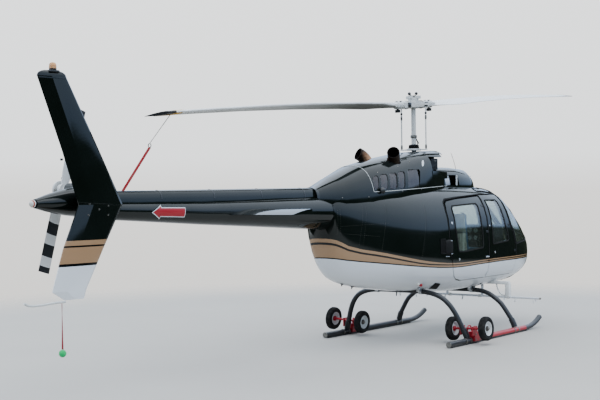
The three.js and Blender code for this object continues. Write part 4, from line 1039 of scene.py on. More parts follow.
def dress_cowlings(sizes):
    """The rear body, the cowlings and what stands on them."""
    for node in ("rear_body", "baggage_door"):
        dressed(node, "striped_enamel", body_normal)
    for node, normal_of in (("engine_cowl", cowl_normal), ("rear_fairing", cowl_normal),
                            ("forward_fairing", fairing_normal)):
        dressed(node, "green_enamel", normal_of)

    bm = bmesh.new()
    for sign in SIDES.values():
        line = spaced([(-1.548, 2.29), (-1.54, 2.1), (-1.531, 1.993), (-1.333, 1.996), (0.029, 2.055), (0.29, 2.062)],
                      0.05, False)
        strip(bm, [on_cowl(x, z, sign) for x, z in line], rounded(0.008, 0.0025))
    strip(bm, [above(cowl_form, cowl_normal, -1.548, 0.2 - 0.04 * k, COWLS) for k in range(11)],
          rounded(0.008, 0.0025))
    finished("cowl_trim", bm, "hub_paint")

    for side, sign in SIDES.items():
        bm = bmesh.new()
        lathe(bm, [(0, 0.062), (0.016, 0.059), (0.032, 0.048), (0.04, 0.03), (0.036, 0.014), (0.024, 0.004),
                   (0.02, -0.006)], seat_on(*on_cowl(-1.391, 2.005, sign)), 28)
        finished(f"cowl_knob_{side}", bm, "black_enamel")

        bm = bmesh.new()
        point, out = on_cowl(-0.365, 2.362, sign)
        turn = seat_on(point, out) @ Matrix.Rotation(-sign * math.radians(50), 4, "Z")
        lathe(bm, [(0, 0.004), (0.016, 0.004), (0.0185, 0.002), (0.019, -0.012)],
              turn @ Matrix.Diagonal((3.2, 1, 1, 1)), 36)
        finished(f"cowl_oval_{side}", bm, "white_enamel")

        bm = bmesh.new()
        for x, z in ((-2.052, 1.925), (-1.623, 1.93), (-0.91, 2.318), (-0.5, 2.02), (-0.05, 2.035), (-0.95, 1.995),
                     (-0.05, 2.4), (-0.62, 2.38), (-1.35, 2.24)):
            point, out = on_cowl(x, z, sign)
            lathe(bm, [(0, 0.003), (0.007, 0.003), (0.009, 0.001), (0.0095, -0.003)], seat_on(point, out), 14)
        finished(f"cowl_fasteners_{side}", bm, "steel")

        # Smoked panes just inside the grille's openings
        bm = bmesh.new()
        rows = []
        for k in range(17):
            x = -1.55 + 1.02 * k / 16
            verts = [bm.verts.new(beside(cowl_form, cowl_normal, x, z, sign, lift=-0.011)[0])
                     for z in [2.0 + (0.2 + 0.085 * k / 16) * j / 6 for j in range(7)]]
            rows.append([bm.edges.new(pair) for pair in zip(verts, verts[1:])])
        for first, second in zip(rows, rows[1:]):
            bmesh.ops.bridge_loops(bm, edges=first + second)
        bmesh.ops.recalc_face_normals(bm, faces=bm.faces)
        bmesh.ops.solidify(bm, geom=bm.faces[:], thickness=0.002)
        finished(f"grille_pane_{side}", bm, "smoked_acrylic")

        # Wire screen on the intake's inner wall, and the sill under its mouth
        bm = bmesh.new()
        block(bm, at(-0.166, sign * 0.2 - 0.006, 2.175), at(0.288, sign * 0.2 + 0.006, 2.44), 0.004)
        finished(f"intake_screen_{side}", bm, "intake_screen")
        bm = bmesh.new()
        rows = []
        for x in (-0.18, -0.06, 0.06, 0.18, 0.298):
            spots = [beside(cowl_form, cowl_normal, x, z, sign) for z in (2.16, 2.19, 2.22, 2.262 - 0.025 * (x + 0.18))]
            verts = [bm.verts.new(point + out * 0.001) for point, out in spots]
            rows.append([bm.edges.new(pair) for pair in zip(verts, verts[1:])])
        for first, second in zip(rows, rows[1:]):
            bmesh.ops.bridge_loops(bm, edges=first + second)
        bmesh.ops.recalc_face_normals(bm, faces=bm.faces)
        bmesh.ops.solidify(bm, geom=bm.faces[:], thickness=0.004)
        finished(f"intake_sill_{side}", bm, "green_enamel")

        # Bare metal patch on the fairing, beside its bay
        bm = bmesh.new()
        rows = []
        for x in (0.31, 0.37, 0.43):
            verts = [bm.verts.new(on_fairing(x, z, sign, 0.001)[0]) for z in (2.07, 2.1, 2.13, 2.16, 2.19)]
            rows.append([bm.edges.new(pair) for pair in zip(verts, verts[1:])])
        for first, second in zip(rows, rows[1:]):
            bmesh.ops.bridge_loops(bm, edges=first + second)
        bmesh.ops.recalc_face_normals(bm, faces=bm.faces)
        bmesh.ops.solidify(bm, geom=bm.faces[:], thickness=0.002)
        finished(f"fairing_patch_{side}", bm, "aluminium")

    # Lip that stands forward of the cowl's top edge
    bm = bmesh.new()
    rows = []
    for x, drop in ((0.26, 0.0), (0.3, 0.003), (0.34, 0.012)):
        verts = []
        for k in range(-9, 10):
            y = 0.275 * k / 9
            top, _ = above(cowl_form, cowl_normal, min(x, 0.29), y)
            verts.append(bm.verts.new((x + MAST_X - 0.05 * abs(k / 9) ** 3, y, top.z + 0.0015 - drop)))
        rows.append([bm.edges.new(pair) for pair in zip(verts, verts[1:])])
    for first, second in zip(rows, rows[1:]):
        bmesh.ops.bridge_loops(bm, edges=first + second)
    bmesh.ops.recalc_face_normals(bm, faces=bm.faces)
    bmesh.ops.solidify(bm, geom=bm.faces[:], thickness=0.005)
    finished("cowl_visor", bm, "green_enamel", sharp=40)

    # White post in the fairing's bay, prongs and the whip aerial with its foot
    bm = bmesh.new()
    for sign in SIDES.values():
        rod(bm, at(0.69, sign * 0.27, 2.07), at(0.69, sign * 0.27, 2.21), 0.014, segments=14)
        for x in (1.235, 1.275):
            point, out = above(fairing_form, fairing_normal, x, sign * 0.2, ("forward_fairing",))
            rod(bm, point - out * 0.004, point + Vector((0.015, 0, 0.03)), 0.005, 0.003, 10)
    finished("bay_posts", bm, "white_enamel")

    bm = bmesh.new()
    foot, out = above(fairing_form, fairing_normal, 1.163, 0.0, ("forward_fairing",))
    lathe(bm, [(0.014, -0.004), (0.014, 0.006), (0.008, 0.014), (0.006, 0.03), (0.003, 0.034)], turn_to(out, foot), 16)
    tip = at(1.023, 0, 2.536)
    tube(bm, [foot + out * 0.02, foot.lerp(tip, 0.5) + Vector((0.012, 0, 0.01)), tip], 0.0028, 8, steps=6)
    finished("whip_aerial", bm, "seal_rubber")


def make_engine(sizes):
    """Turbine and gearbox housings with their hoses, seen through the grille and the fairing."""
    axis = ALONG
    bm = bmesh.new()
    lathe(bm, [(0.0, -0.49), (0.07, -0.49), (0.075, -0.4), (0.12, -0.38), (0.12, -0.3), (0.1, -0.28), (0.1, -0.2),
               (0.15, -0.17), (0.155, -0.02), (0.13, 0.0), (0.13, 0.12), (0.16, 0.15), (0.16, 0.21), (0.11, 0.24),
               (0.11, 0.36), (0.14, 0.38), (0.14, 0.42), (0.06, 0.46), (0.05, 0.49), (0.0, 0.49)],
          Matrix.Translation(at(-0.91, 0, 2.075)) @ axis, 40)
    for x in (-1.2, -1.08, -0.76, -0.6):
        lathe(bm, [(0.125, -0.012), (0.168, -0.012), (0.168, 0.012), (0.125, 0.012), (0.125, -0.012)],
              Matrix.Translation(at(x, 0, 2.075)) @ axis, 36)
    block(bm, at(-0.78, -0.1, 1.905), at(-0.5, 0.1, 1.98), 0.012)
    engine = finished("turbine_engine", bm, "engine_casting", "airframe")
    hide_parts("engine_block")

    bm = bmesh.new()
    lathe(bm, [(0.0, -0.26), (0.16, -0.26), (0.165, -0.2), (0.15, -0.18), (0.15, -0.1), (0.168, -0.08), (0.168, -0.04),
               (0.14, -0.02), (0.11, 0.12), (0.085, 0.2), (0.08, 0.255), (0.05, 0.262), (0.0, 0.262)],
          Matrix.Translation(at(0, 0, 2.165)), 40)
    for k in range(10):
        turn = Matrix.Translation(at(0, 0, 2.165)) @ Matrix.Rotation(math.tau * k / 10, 4, "Z")
        block(bm, (0.13, -0.004, -0.2), (0.165, 0.004, -0.1), 0.0015, turn, 1)
    gearbox = finished("main_gearbox", bm, "engine_casting", "airframe")
    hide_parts("transmission_block")

    for side, sign in SIDES.items():
        bm = bmesh.new()
        for x, low, high in ((-1.45, 2.03, 2.17), (-1.13, 2.04, 2.19), (-0.72, 2.05, 2.22)):
            for first, second in ((low, high), (high, low)):
                tube(bm, [at(x - 0.09, sign * 0.2, first), at(x, sign * 0.235, (first + second) / 2),
                          at(x + 0.09, sign * 0.205, second)], 0.011, 8, steps=6)
        finished(f"engine_hoses_{side}", bm, "brown_hose")
        bm = bmesh.new()
        for x, end in ((-1.3, -1.18), (-0.95, -0.82), (-0.6, -0.46)):
            rod(bm, at(x, sign * 0.23, 1.96), at(end, sign * 0.165, 2.2), 0.012, segments=12)
            for u, v, w in ((x, 0.23, 1.96), (end, 0.165, 2.2)):
                ball(bm, at(u, sign * v, w), 0.02, (1, 0.8, 1))
        finished(f"engine_struts_{side}", bm, "aluminium")


def make_exhausts(sizes):
    """Exhaust stacks with rolled mouths, tanned outside and sooty inside."""
    for side, sign in SIDES.items():
        foot, knee, mouth = [at(x, sign * y, z) for x, y, z in (
            (-0.82, 0.188, 2.258), (-0.832, 0.204, 2.436), (-0.958, 0.274, 2.496))]
        middle = [foot * (1 - t) ** 2 + knee * 2 * t * (1 - t) + mouth * t ** 2 for t in [k / 16 for k in range(17)]]
        for part, radius, finish in (("", 0.08, "tanned_steel"), ("_inside", 0.0745, "exhaust_soot")):
            bm = bmesh.new()
            places = path_places(middle, (1, 0, 0))
            verts = [bm.verts.new(places[0] @ Vector((u, v, 0))) for u, v in circle(radius, 40)]
            ring = [bm.edges.new((verts[i], verts[(i + 1) % 40])) for i in range(40)]
            for before, after in zip(places, places[1:]):
                made = bmesh.ops.extrude_edge_only(bm, edges=ring)["geom"]
                moved = {g for g in made if isinstance(g, bmesh.types.BMVert)}
                bmesh.ops.transform(bm, matrix=after @ before.inverted(), verts=list(moved))
                ring = [g for g in made if isinstance(g, bmesh.types.BMEdge) and all(v in moved for v in g.verts)]
            bmesh.ops.recalc_face_normals(bm, faces=bm.faces)
            if bm.faces[0].normal.dot(bm.faces[0].calc_center_median() - places[0].translation) < 0:
                bmesh.ops.reverse_faces(bm, faces=bm.faces)
            bmesh.ops.solidify(bm, geom=bm.faces[:], thickness=0.002)
            if not part:
                lathe(bm, [(0.073, -0.004), (0.0775, 0.002), (0.0815, 0.0), (0.0825, -0.006), (0.0798, -0.012)],
                      places[-1], 40)
                lathe(bm, [(0.079, -0.012), (0.088, -0.01), (0.09, 0.0), (0.088, 0.01), (0.079, 0.012)],
                      Matrix.Translation(middle[2]) @ places[2].to_3x3().to_4x4(), 40)
            piece = finished(f"exhaust_pipe{part}_{side}", bm, finish, "airframe", 50)
            if not part:
                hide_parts(f"exhaust_{side}")


def dress_tail(sizes):
    """The boom, the fin, the stabilizer, the lamps and their fittings."""
    for node in ("tail_boom", "shaft_cover", "tail_cone", "tail_gearbox", "stabilizer_left", "stabilizer_right"):
        dressed(node, "green_enamel", sharp=40 if "stabilizer" in node else 32)
    dressed("fin", "fin_enamel", sharp=7)
    dressed("tail_skid", "hub_paint")
    axis = ALONG
    up = Matrix.Translation(at(-6.54, FIN_Y, 0))

    bm = bmesh.new()
    lathe(bm, [(0.0, 3.193), (0.014, 3.191), (0.026, 3.184), (0.0325, 3.172), (0.034, 3.156), (0.034, 3.135),
               (0.031, 3.133), (0.0, 3.133)], up, 36)
    lens = finished("beacon_lens", bm, "amber_lens")
    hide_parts("beacon")
    bm = bmesh.new()
    lathe(bm, [(0.0, 3.134), (0.035, 3.134), (0.035, 3.127), (0.031, 3.123), (0.031, 3.118), (0.04, 3.112),
               (0.0, 3.108)], up, 32)
    block(bm, at(-6.59, -0.25, 3.098), at(-6.49, -0.174, 3.121), 0.005)
    block(bm, at(-6.585, -0.222, 3.04), at(-6.545, -0.202, 3.11), 0.004)
    block(bm, at(-6.462, -0.222, 2.31), at(-6.442, -0.202, 2.33), 0.004)
    finished("beacon_bracket", bm, "black_enamel")

    # White dome lamp with brown and white rings round its foot
    tail = Matrix.Translation(at(-6.643, 0, 1.922)) @ Matrix.Rotation(math.radians(-90), 4, "Y")
    bm = bmesh.new()
    lathe(bm, [(0.0, 0.0), (0.012, -0.001), (0.022, -0.006), (0.028, -0.014), (0.03, -0.026), (0.0, -0.026)], tail, 32)
    lamp = finished("tail_lamp_dome", bm, "clear_lens")
    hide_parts("tail_lamp")
    for name, start, end, radius, finish in (("brown", 0.018, 0.03, 0.0325, "brown_hose"),
                                             ("white", 0.03, 0.04, 0.0335, "white_plastic"),
                                             ("black", 0.04, 0.055, 0.0338, "black_enamel")):
        bm = bmesh.new()
        lathe(bm, [(0.02, -start), (radius - 0.002, -start), (radius, -start - 0.002), (radius, -end), (0.02, -end),
                   (0.02, -start)], tail, 32)
        finished(f"tail_lamp_ring_{name}", bm, finish, "airframe")

    bm = bmesh.new()
    for x, z in ((-6.148, 1.913), (-5.929, 1.893), (-6.166, 1.809), (-5.931, 1.806), (-6.04, 1.86)):
        hexagon_bolt(bm, seated(("fin",), at(x, -0.25, z), STARBOARD, -0.001), (0, -1, 0), 0.014)
    finished("fin_bolts", bm, "steel")
    bm = bmesh.new()
    for z in (3.05,):
        points = []
        for k in range(25):
            x = -6.71 + 0.3 * k / 24
            points.append(seated(("fin",), at(x, -0.25, z), STARBOARD, 0.0))
        strip(bm, [(p, STARBOARD) for p in points], rounded(0.012, 0.002))
    foot = [seated(("fin",), at(-6.26 + 0.5 * k / 16, -0.25, 1.925 - 0.03 * k / 16), STARBOARD) for k in range(17)]
    strip(bm, [(p, STARBOARD) for p in foot], rounded(0.01, 0.002))
    finished("fin_seams", bm, "green_enamel")

    bm = bmesh.new()
    for x in [-2.3 - 0.035 * k for k in range(99)]:
        for sign in SIDES.values():
            out = Vector((0, sign * 0.985, -0.17)).normalized()
            share = (x + 2.19) / -3.61
            middle = at(x, 0, 1.748 + 0.102 * share)
            rivet(bm, seated(("tail_boom",), middle + out * (0.208 - 0.116 * share), out), out, 0.0032)
    for x in (-2.24, -3.1, -4.0, -4.9, -5.72):
        for k in range(-8, 9):
            out = Vector((0, math.cos(k * 0.18), math.sin(k * 0.18)))
            share = (x + 2.19) / -3.61
            middle = at(x, 0, 1.748 + 0.102 * share)
            for sign in SIDES.values():
                way = Vector((0, sign * out.y, out.z))
                rivet(bm, seated(("tail_boom",), middle + way * (0.208 - 0.116 * share), way), way, 0.0032)
    finished("boom_rivets", bm, "green_enamel")

    # Clamp bands over the shaft cover and round the boom's ends
    bm = bmesh.new()
    for x in (-2.62, -3.42, -4.22, -5.02, -5.62):
        spots = []
        for k in range(-6, 7):
            way = Vector((0, math.sin(k * 0.25), math.cos(k * 0.25)))
            spots.append((seated(("shaft_cover", "tail_boom"), at(x, 0, 1.94) + way * 0.09, way), way))
        strip(bm, spots, rounded(0.016, 0.0025))
    finished("cover_bands", bm, "black_enamel")
    bm = bmesh.new()
    spots = []
    for k in range(-9, 10):
        way = Vector((0, math.sin(k * 0.19), math.cos(k * 0.19)))
        spots.append((seated(("rear_fairing", "shaft_cover"), at(-2.385, 0, 1.94) + way * 0.1, way), way))
    strip(bm, spots, rounded(0.075, 0.005))
    finished("fairing_end_band", bm, "green_enamel")

    bm = bmesh.new()
    for x in (-2.195, -5.79):
        share = (x + 2.19) / -3.61
        middle, radius = at(x, 0, 1.748 + 0.102 * share), 0.208 - 0.116 * share
        lathe(bm, [(radius - 0.004, -0.007), (radius + 0.003, -0.007), (radius + 0.003, 0.007), (radius - 0.004, 0.007),
                   (radius - 0.004, -0.007)], Matrix.Translation(middle) @ axis, 64)
    finished("boom_rings", bm, "green_enamel")

    # Blank arrow sign with a pale border on the starboard side
    arrow = [(-5.183, 1.813), (-5.075, 1.756), (-5.075, 1.775), (-4.734, 1.762), (-4.734, 1.848), (-5.075, 1.855),
             (-5.075, 1.874)]
    for name, grow, lift, finish in (("border", 0.009, 0.0008, "white_enamel"), ("face", 0.0, 0.0016, "red_enamel")):
        bm = bmesh.new()
        face = bm.faces.new([bm.verts.new(at(x, -0.3, z)) for x, z in moved_out(arrow, grow)])
        bmesh.ops.triangulate(bm, faces=[face])
        bmesh.ops.subdivide_edges(bm, edges=bm.edges[:], cuts=4, use_grid_fill=True)
        for vert in bm.verts:
            x, z = vert.co.x - MAST_X, vert.co.z
            share = (x + 2.19) / -3.61
            drop, radius = z - (1.748 + 0.102 * share), 0.208 - 0.116 * share
            vert.co.y = -math.sqrt(max(0.0, radius ** 2 - drop ** 2)) - lift
        bmesh.ops.recalc_face_normals(bm, faces=bm.faces)
        bmesh.ops.solidify(bm, geom=bm.faces[:], thickness=-0.002)
        finished(f"arrow_sign_{name}", bm, finish, "airframe")
    return lens


def dress_gear(sizes):
    """The cross tubes and skids with their saddles, shoes and caps."""
    for node in ("cross_tube_front", "cross_tube_rear", "skid_left", "skid_right"):
        dressed(node, "black_enamel", sharp=40)
    for side, sign in SIDES.items():
        y = sign * SKID_Y
        bm = bmesh.new()
        turns = [math.radians(a) for a in range(-25, 86, 10)]
        section = [(sign * 0.0372 * math.cos(a), 0.0372 * math.sin(a)) for a in turns]
        section += [(sign * 0.033 * math.cos(a), 0.033 * math.sin(a)) for a in reversed(turns)]
        points = [at(0.0 + 0.15 * k, y, 0.044) for k in range(10)]
        sweep(bm, section, path_places(points, (0, 0, 1)))
        finished(f"skid_paint_{side}", bm, "red_enamel")

        bm = bmesh.new()
        rod(bm, at(-0.801, y, 0.044), at(-0.789, y, 0.044), 0.0375, segments=28)
        for x in (1.08, -0.29):
            for shift in (-0.062, 0.062):
                foot = x - (0.012 if x > 0 else 0.0235)
                lathe(bm, [(0.034, -0.014), (0.0395, -0.014), (0.041, 0.0), (0.0395, 0.014), (0.034, 0.014),
                           (0.034, -0.014)],
                      Matrix.Translation(at(foot + shift, y, 0.044)) @ ALONG, 28)
        finished(f"skid_collars_{side}", bm, "steel")

        bm = bmesh.new()
        for x in (-0.66, -0.42, 0.1, 0.4, 0.7, 1.3):
            hexagon_bolt(bm, at(x, y + sign * 0.0235, 0.014), (0, sign, 0), 0.011)
            hexagon_bolt(bm, at(x, y - sign * 0.0235, 0.014), (0, -sign, 0), 0.011)
        for x, lean in ((1.08, 0.12), (-0.29, 0.235)):
            for u in (-0.016, 0.016):
                place = at(x - lean * 0.06 + u, sign * 0.912, 0.166)
                hexagon_bolt(bm, place + Vector((0, sign * 0.036, 0.0)), (0, sign, 0.35), 0.013)
        finished(f"skid_bolts_{side}", bm, "steel")

    # Saddles that hold the cross tubes to the body
    for name, x, lean, half, z in (("front", 1.08, 0.12, 0.31, 0.583), ("rear", -0.29, 0.235, 0.34, 0.67)):
        for side, sign in SIDES.items():
            middle = at(x - lean * (z - 0.096), sign * half, z)
            bm = bmesh.new()
            lathe(bm, [(0.0325, -0.026), (0.037, -0.026), (0.039, -0.02), (0.039, 0.02), (0.037, 0.026),
                       (0.0325, 0.026), (0.0325, -0.026)], turn_to((0, 1, 0), middle), 32)
            for u in (-0.052, 0.052):
                block(bm, middle + Vector((u - 0.022, -0.024, -0.004)), middle + Vector((u + 0.022, 0.024, 0.05)),
                      0.004)
                hexagon_bolt(bm, middle + Vector((u, 0, -0.005)), (0, 0, -1), 0.014)
            finished(f"tube_saddle_{name}_{side}", bm, "aluminium")


TYRE = [(0.088, 0.031), (0.096, 0.04), (0.118, 0.0455), (0.138, 0.043), (0.15, 0.0345), (0.1535, 0.026)]
WHEEL = (-0.25, 0.199, 3.0)


def axle_turn(sign):
    """Matrix at the middle of one side's wheel axle, whose Z runs outwards along it."""
    x, z, tilt = WHEEL
    lean = math.radians(tilt)
    return turn_to((0, sign * math.cos(lean), math.sin(lean)), at(x, sign * SKID_Y, z))


def make_wheels(sizes):
    """Pneumatic ground wheels: ribbed tyres on pressed rims with red hub caps."""
    for side, sign in SIDES.items():
        for place, end in (("outer", 1), ("inner", -1)):
            turn = axle_turn(sign) @ Matrix.Translation((0, 0, end * 0.241))
            if end < 0:
                turn = turn @ Matrix.Rotation(math.pi, 4, "X")
            bm = bmesh.new()
            radius = sizes.tyre_radius
            crown = [(radius - 0.0005, 0.022), (radius - 0.0035, 0.0175), (radius - 0.0035, 0.0145), (radius, 0.011),
                     (radius, 0.0045), (radius - 0.0035, 0.002)]
            half = TYRE + crown
            profile = half + [(r, -h) for r, h in reversed(half)]
            lathe(bm, profile + [profile[0]], turn, 72)
            tyre = finished(f"tyre_{side}_{place}", bm, "tyre_rubber", f"wheels_{side}",
                            40)
            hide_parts(f"wheel_{side}_{place}")

            bm = bmesh.new()
            rim = [(0.03, 0.012), (0.045, 0.012), (0.06, 0.006), (0.076, 0.018), (0.081, 0.036), (0.09, 0.0395),
                   (0.093, 0.035), (0.088, 0.03)]
            lathe(bm, rim + [(r, -h) for r, h in reversed(rim)] + [rim[0]], turn, 56)
            for k in range(5):
                spot = turn @ Matrix.Rotation(math.tau * k / 5, 4, "Z")
                hexagon_bolt(bm, spot @ Vector((0.052, 0, 0.009)), (turn.to_3x3() @ Vector((0, 0, 1))), 0.011)
            finished(f"rim_{side}_{place}", bm, "hub_paint", f"wheels_{side}", sharp=40)

            bm = bmesh.new()
            lathe(bm, [(0.0, 0.041), (0.012, 0.041), (0.019, 0.037), (0.021, 0.028), (0.031, 0.026), (0.034, 0.022),
                       (0.034, -0.002), (0.0, -0.002)], turn, 32)
            finished(f"hub_cap_{side}_{place}", bm, "engine_casting", f"wheels_{side}", sharp=40)
            bm = bmesh.new()
            lathe(bm, [(0.0, 0.0), (0.034, 0.0), (0.034, -0.03), (0.018, -0.034), (0.0, -0.034)], turn, 32)
            finished(f"hub_back_{side}_{place}", bm, "red_enamel", f"wheels_{side}", sharp=40)


def dress_wheel_frames(sizes):
    """The clamps that hold the ground wheels' axles, with their bolts and lifting sockets."""
    for side, sign in SIDES.items():
        dressed(f"wheel_frame_{side}", "red_enamel", sharp=30)
        bm = bmesh.new()
        for x in (-0.19, -0.09):
            for z in (0.05, 0.12):
                hexagon_bolt(bm, at(x, sign * (SKID_Y + 0.0615), z), (0, sign, 0), 0.016)
        for x in (-0.26, -0.17):
            hexagon_bolt(bm, at(x, sign * (SKID_Y - 0.1295), 0.16), (0, -sign, 0), 0.014)
            hexagon_bolt(bm, at(x, sign * (SKID_Y - 0.1295), 0.205), (0, -sign, 0), 0.014)
        turn = axle_turn(sign)
        for end in (-1, 1):
            lathe(bm, [(0.0, 0.288), (0.012, 0.288), (0.0165, 0.284), (0.0165, 0.278), (0.0, 0.278)],
                  turn if end > 0 else turn @ Matrix.Rotation(math.pi, 4, "X"), 20)
        finished(f"wheel_frame_bolts_{side}", bm, "steel")
        bm = bmesh.new()
        foot = at(-0.1, sign * SKID_Y, 0.148)
        lathe(bm, [(0.016, 0.0), (0.026, 0.0), (0.026, 0.06), (0.022, 0.066), (0.016, 0.066), (0.014, 0.05),
                   (0.016, 0.0)], turn_to((0.25, 0, 1), foot), 24)
        tube(bm, [at(-0.2, sign * 0.905, 0.15), at(-0.17, sign * 0.9, 0.215), at(-0.11, sign * 0.9, 0.215),
                  at(-0.08, sign * 0.905, 0.15)], 0.009, 10, steps=5)
        finished(f"lifting_socket_{side}", bm, "red_enamel")


def dress_rotor(sizes):
    """The main rotor with the fittings on its hub, grips and control links."""
    for node in ("blade_forward", "blade_rear"):
        dressed(node, "blade_paint", sharp=25)
    dressed("rotor_hub", "hub_paint")
    dressed("mast", "hub_paint")
    dressed("swashplate_links", "hub_paint")

    def hub(x, y, z):
        return TEETERED @ Vector((x, y, z))

    bm = bmesh.new()
    for end in (-1, 1):
        rod(bm, hub(0, 0, 0.085), hub(end * 0.088, 0, 0.146), 0.011, 0.009)
        lathe(bm, [(0.053, -0.01), (0.058, -0.006), (0.058, 0.006), (0.053, 0.01)],
              TEETERED @ Matrix.Translation((end * 0.2, 0, 0)) @ ALONG, 32)
    lathe(bm, [(0.0, 0.126), (0.03, 0.126), (0.036, 0.12), (0.036, 0.095), (0.045, 0.092), (0.045, 0.08)], TEETERED, 32)
    finished("hub_arms", bm, "steel", "main_rotor")

    bm = bmesh.new()
    for end in (-1, 1):
        ball(bm, hub(end * 0.095, 0, 0.151), 0.022, subdivisions=3)
        low, high = sorted((end * 0.195, end * 0.262))
        for y in (-1, 1):
            block(bm, (low, y * 0.066 - 0.018, -0.03), (high, y * 0.066 + 0.018, 0.03), 0.006, TEETERED)
        lathe(bm, [(0.0, -0.098), (0.03, -0.098), (0.036, -0.092), (0.036, -0.06), (0.0, -0.05)],
              TEETERED @ Matrix.Translation((end * 0.43, 0, 0)), 28)
        for x, y in ((0.32, 0.0), (0.385, 0.022), (0.385, -0.022), (0.45, 0.0)):
            lathe(bm, [(0.0, 0.058), (0.009, 0.058), (0.012, 0.054), (0.012, 0.035)],
                  TEETERED @ Matrix.Translation((end * x, y, 0)), 16)
    for y in (-0.19, 0.19):
        for z, reach in ((-0.02, 0.016), (-0.122, 0.014)):
            lathe(bm, [(0.0, 0.012), (reach, 0.01), (reach + 0.003, 0.0), (reach, -0.01), (0.0, -0.012)],
                  PARKED @ Matrix.Translation((0, y, z)) @ Matrix.Rotation(math.radians(90), 4, "X"), 20)
    finished("hub_dark_fittings", bm, "black_enamel", "main_rotor")

    bm = bmesh.new()
    for end in (-1, 1):
        low, high = sorted((end * 0.33, end * 0.56))
        for y in (-1, 1):
            block(bm, (low, y * 0.052 - 0.006, -0.024), (high, y * 0.052 + 0.006, 0.024), 0.004,
                  TEETERED @ Matrix.Rotation(0, 4, "Z"))
            for x in (0.36, 0.44, 0.53):
                hexagon_bolt(bm, hub(end * x, y * 0.058, 0), TEETERED.to_3x3() @ Vector((0, y, 0)), 0.014)
    finished("grip_tangs", bm, "hub_paint", "main_rotor")

    # Boot and scissor arm above the swashplate
    bm = bmesh.new()
    base = PARKED @ Matrix.Translation((0, 0, -HUB_Z))
    rings = [(0.071, 2.572)]
    for k in range(5):
        rings += [(0.079 - 0.002 * k, 2.579 + 0.011 * k), (0.07 - 0.002 * k, 2.5845 + 0.011 * k)]
    lathe(bm, [(0.04, 2.572)] + rings + [(0.04, 2.634)], base, 32)
    finished("mast_boot", bm, "seal_rubber", "main_rotor")
    bm = bmesh.new()
    rod(bm, base @ Vector((0.055, 0, 2.57)), base @ Vector((0.12, 0, 2.66)), 0.009)
    rod(bm, base @ Vector((0.12, 0, 2.66)), base @ Vector((0.034, 0, 2.74)), 0.009)
    ball(bm, base @ Vector((0.12, 0, 2.66)), 0.015)
    lathe(bm, [(0.0325, 2.72), (0.043, 2.722), (0.045, 2.74), (0.043, 2.76), (0.0325, 2.762)], base, 32)
    for y in (-0.19, 0.19):
        for z in (2.6, 3.0):
            lathe(bm, [(0.0, -0.03), (0.012, -0.028), (0.0135, -0.01), (0.0135, 0.01), (0.012, 0.028), (0.0, 0.03)],
                  base @ Matrix.Translation((0, y, z)), 12)
    finished("control_fittings", bm, "steel", "main_rotor")


def make_tie_down(sizes):
    """The clip on the aft blade's tip and the webbing that ties it to the boom."""
    blade = PARKED @ Matrix.Rotation(math.radians(-4.55), 4, "Y") @ Matrix.Rotation(math.pi, 4, "Z")
    axis = blade.to_3x3()
    bm = bmesh.new()
    rings = []
    for reach in (4.845, 4.9, 4.955):
        points = []
        for share, end in [(k / 8, 1) for k in range(9)] + [(k / 8, -1) for k in range(8, -1, -1)]:
            out = axis @ Vector((0, 0, end))
            middle = blade @ Vector((reach, -0.238 + 0.306 * share, 0.0345))
            points.append(bm.verts.new(seated(("blade_rear",), middle, out, 0.003)))
        rings.append([bm.edges.new((points[i - 1], points[i])) for i in range(len(points))])
    for first, second in zip(rings, rings[1:]):
        bmesh.ops.bridge_loops(bm, edges=first + second)
    bmesh.ops.recalc_face_normals(bm, faces=bm.faces)
    bmesh.ops.solidify(bm, geom=bm.faces[:], thickness=0.003)
    finished("tie_down_clip", bm, "yellow_clip", "main_rotor")

    ring, end = at(-5.2, -0.09, 2.483), at(-5.52, -0.03, 2.03)
    top = seated(("blade_rear",), blade @ Vector((4.9, -0.06, 0.0345)), axis @ Vector((0, 0, -1)), 0.002)
    bm = bmesh.new()
    tube(bm, [top, ring + Vector((0, 0, 0.02))], 0.0035, 8)
    lathe(bm, [(0.016, -0.003), (0.022, -0.003), (0.022, 0.003), (0.016, 0.003), (0.016, -0.003)],
          turn_to((1, 0, 0), ring), 20)
    finished("tie_down_cord", bm, "steel", "main_rotor")
    bm = bmesh.new()
    start = ring - Vector((0, 0, 0.02))
    flat = [(-0.014, -0.0015), (0.014, -0.0015), (0.014, 0.0015), (-0.014, 0.0015)]
    sweep(bm, flat, path_places([start.lerp(end, k / 12) for k in range(13)], (0.8, 0, 0.6)))
    finished("tie_down_strap", bm, "red_webbing", "main_rotor")


def dress_tail_rotor(sizes):
    """The tail rotor with its bands, pitch links and fittings."""
    dressed("tail_rotor", "tail_blade_paint")
    bm = bmesh.new()
    hub = at(-5.96, 0.345, 2.05)
    lathe(bm, [(0.0, 0.075), (0.02, 0.075), (0.028, 0.066), (0.03, 0.052), (0.05, 0.05), (0.052, 0.034)],
          turn_to((0, 1, 0), hub), 32)
    lean = math.radians(16)
    along = Vector((math.sin(lean), 0, math.cos(lean)))
    across = Vector((math.cos(lean), 0, -math.sin(lean)))
    for end in (-1, 1):
        root = hub + along * (end * 0.1)
        rod(bm, hub + across * (end * 0.07) + Vector((0, 0.045, 0)),
            root + across * (end * 0.055) + Vector((0, 0.01, 0)), 0.007)
        for shift in (-0.026, 0.026):
            for reach in (0.11, 0.17):
                spot = hub + along * (end * reach) + across * shift
                seat = seated(("tail_rotor",), spot + Vector((0, 0.02, 0)), Vector((0, 1, 0)), -0.001)
                hexagon_bolt(bm, seat, (0, 1, 0), 0.013)
    finished("tail_rotor_fittings", bm, "steel", "tail_rotor")


def evaluated(piece):
    """The mesh of a piece with its modifiers applied."""
    graph = bpy.context.evaluated_depsgraph_get()
    return bpy.data.meshes.new_from_object(piece.evaluated_get(graph))


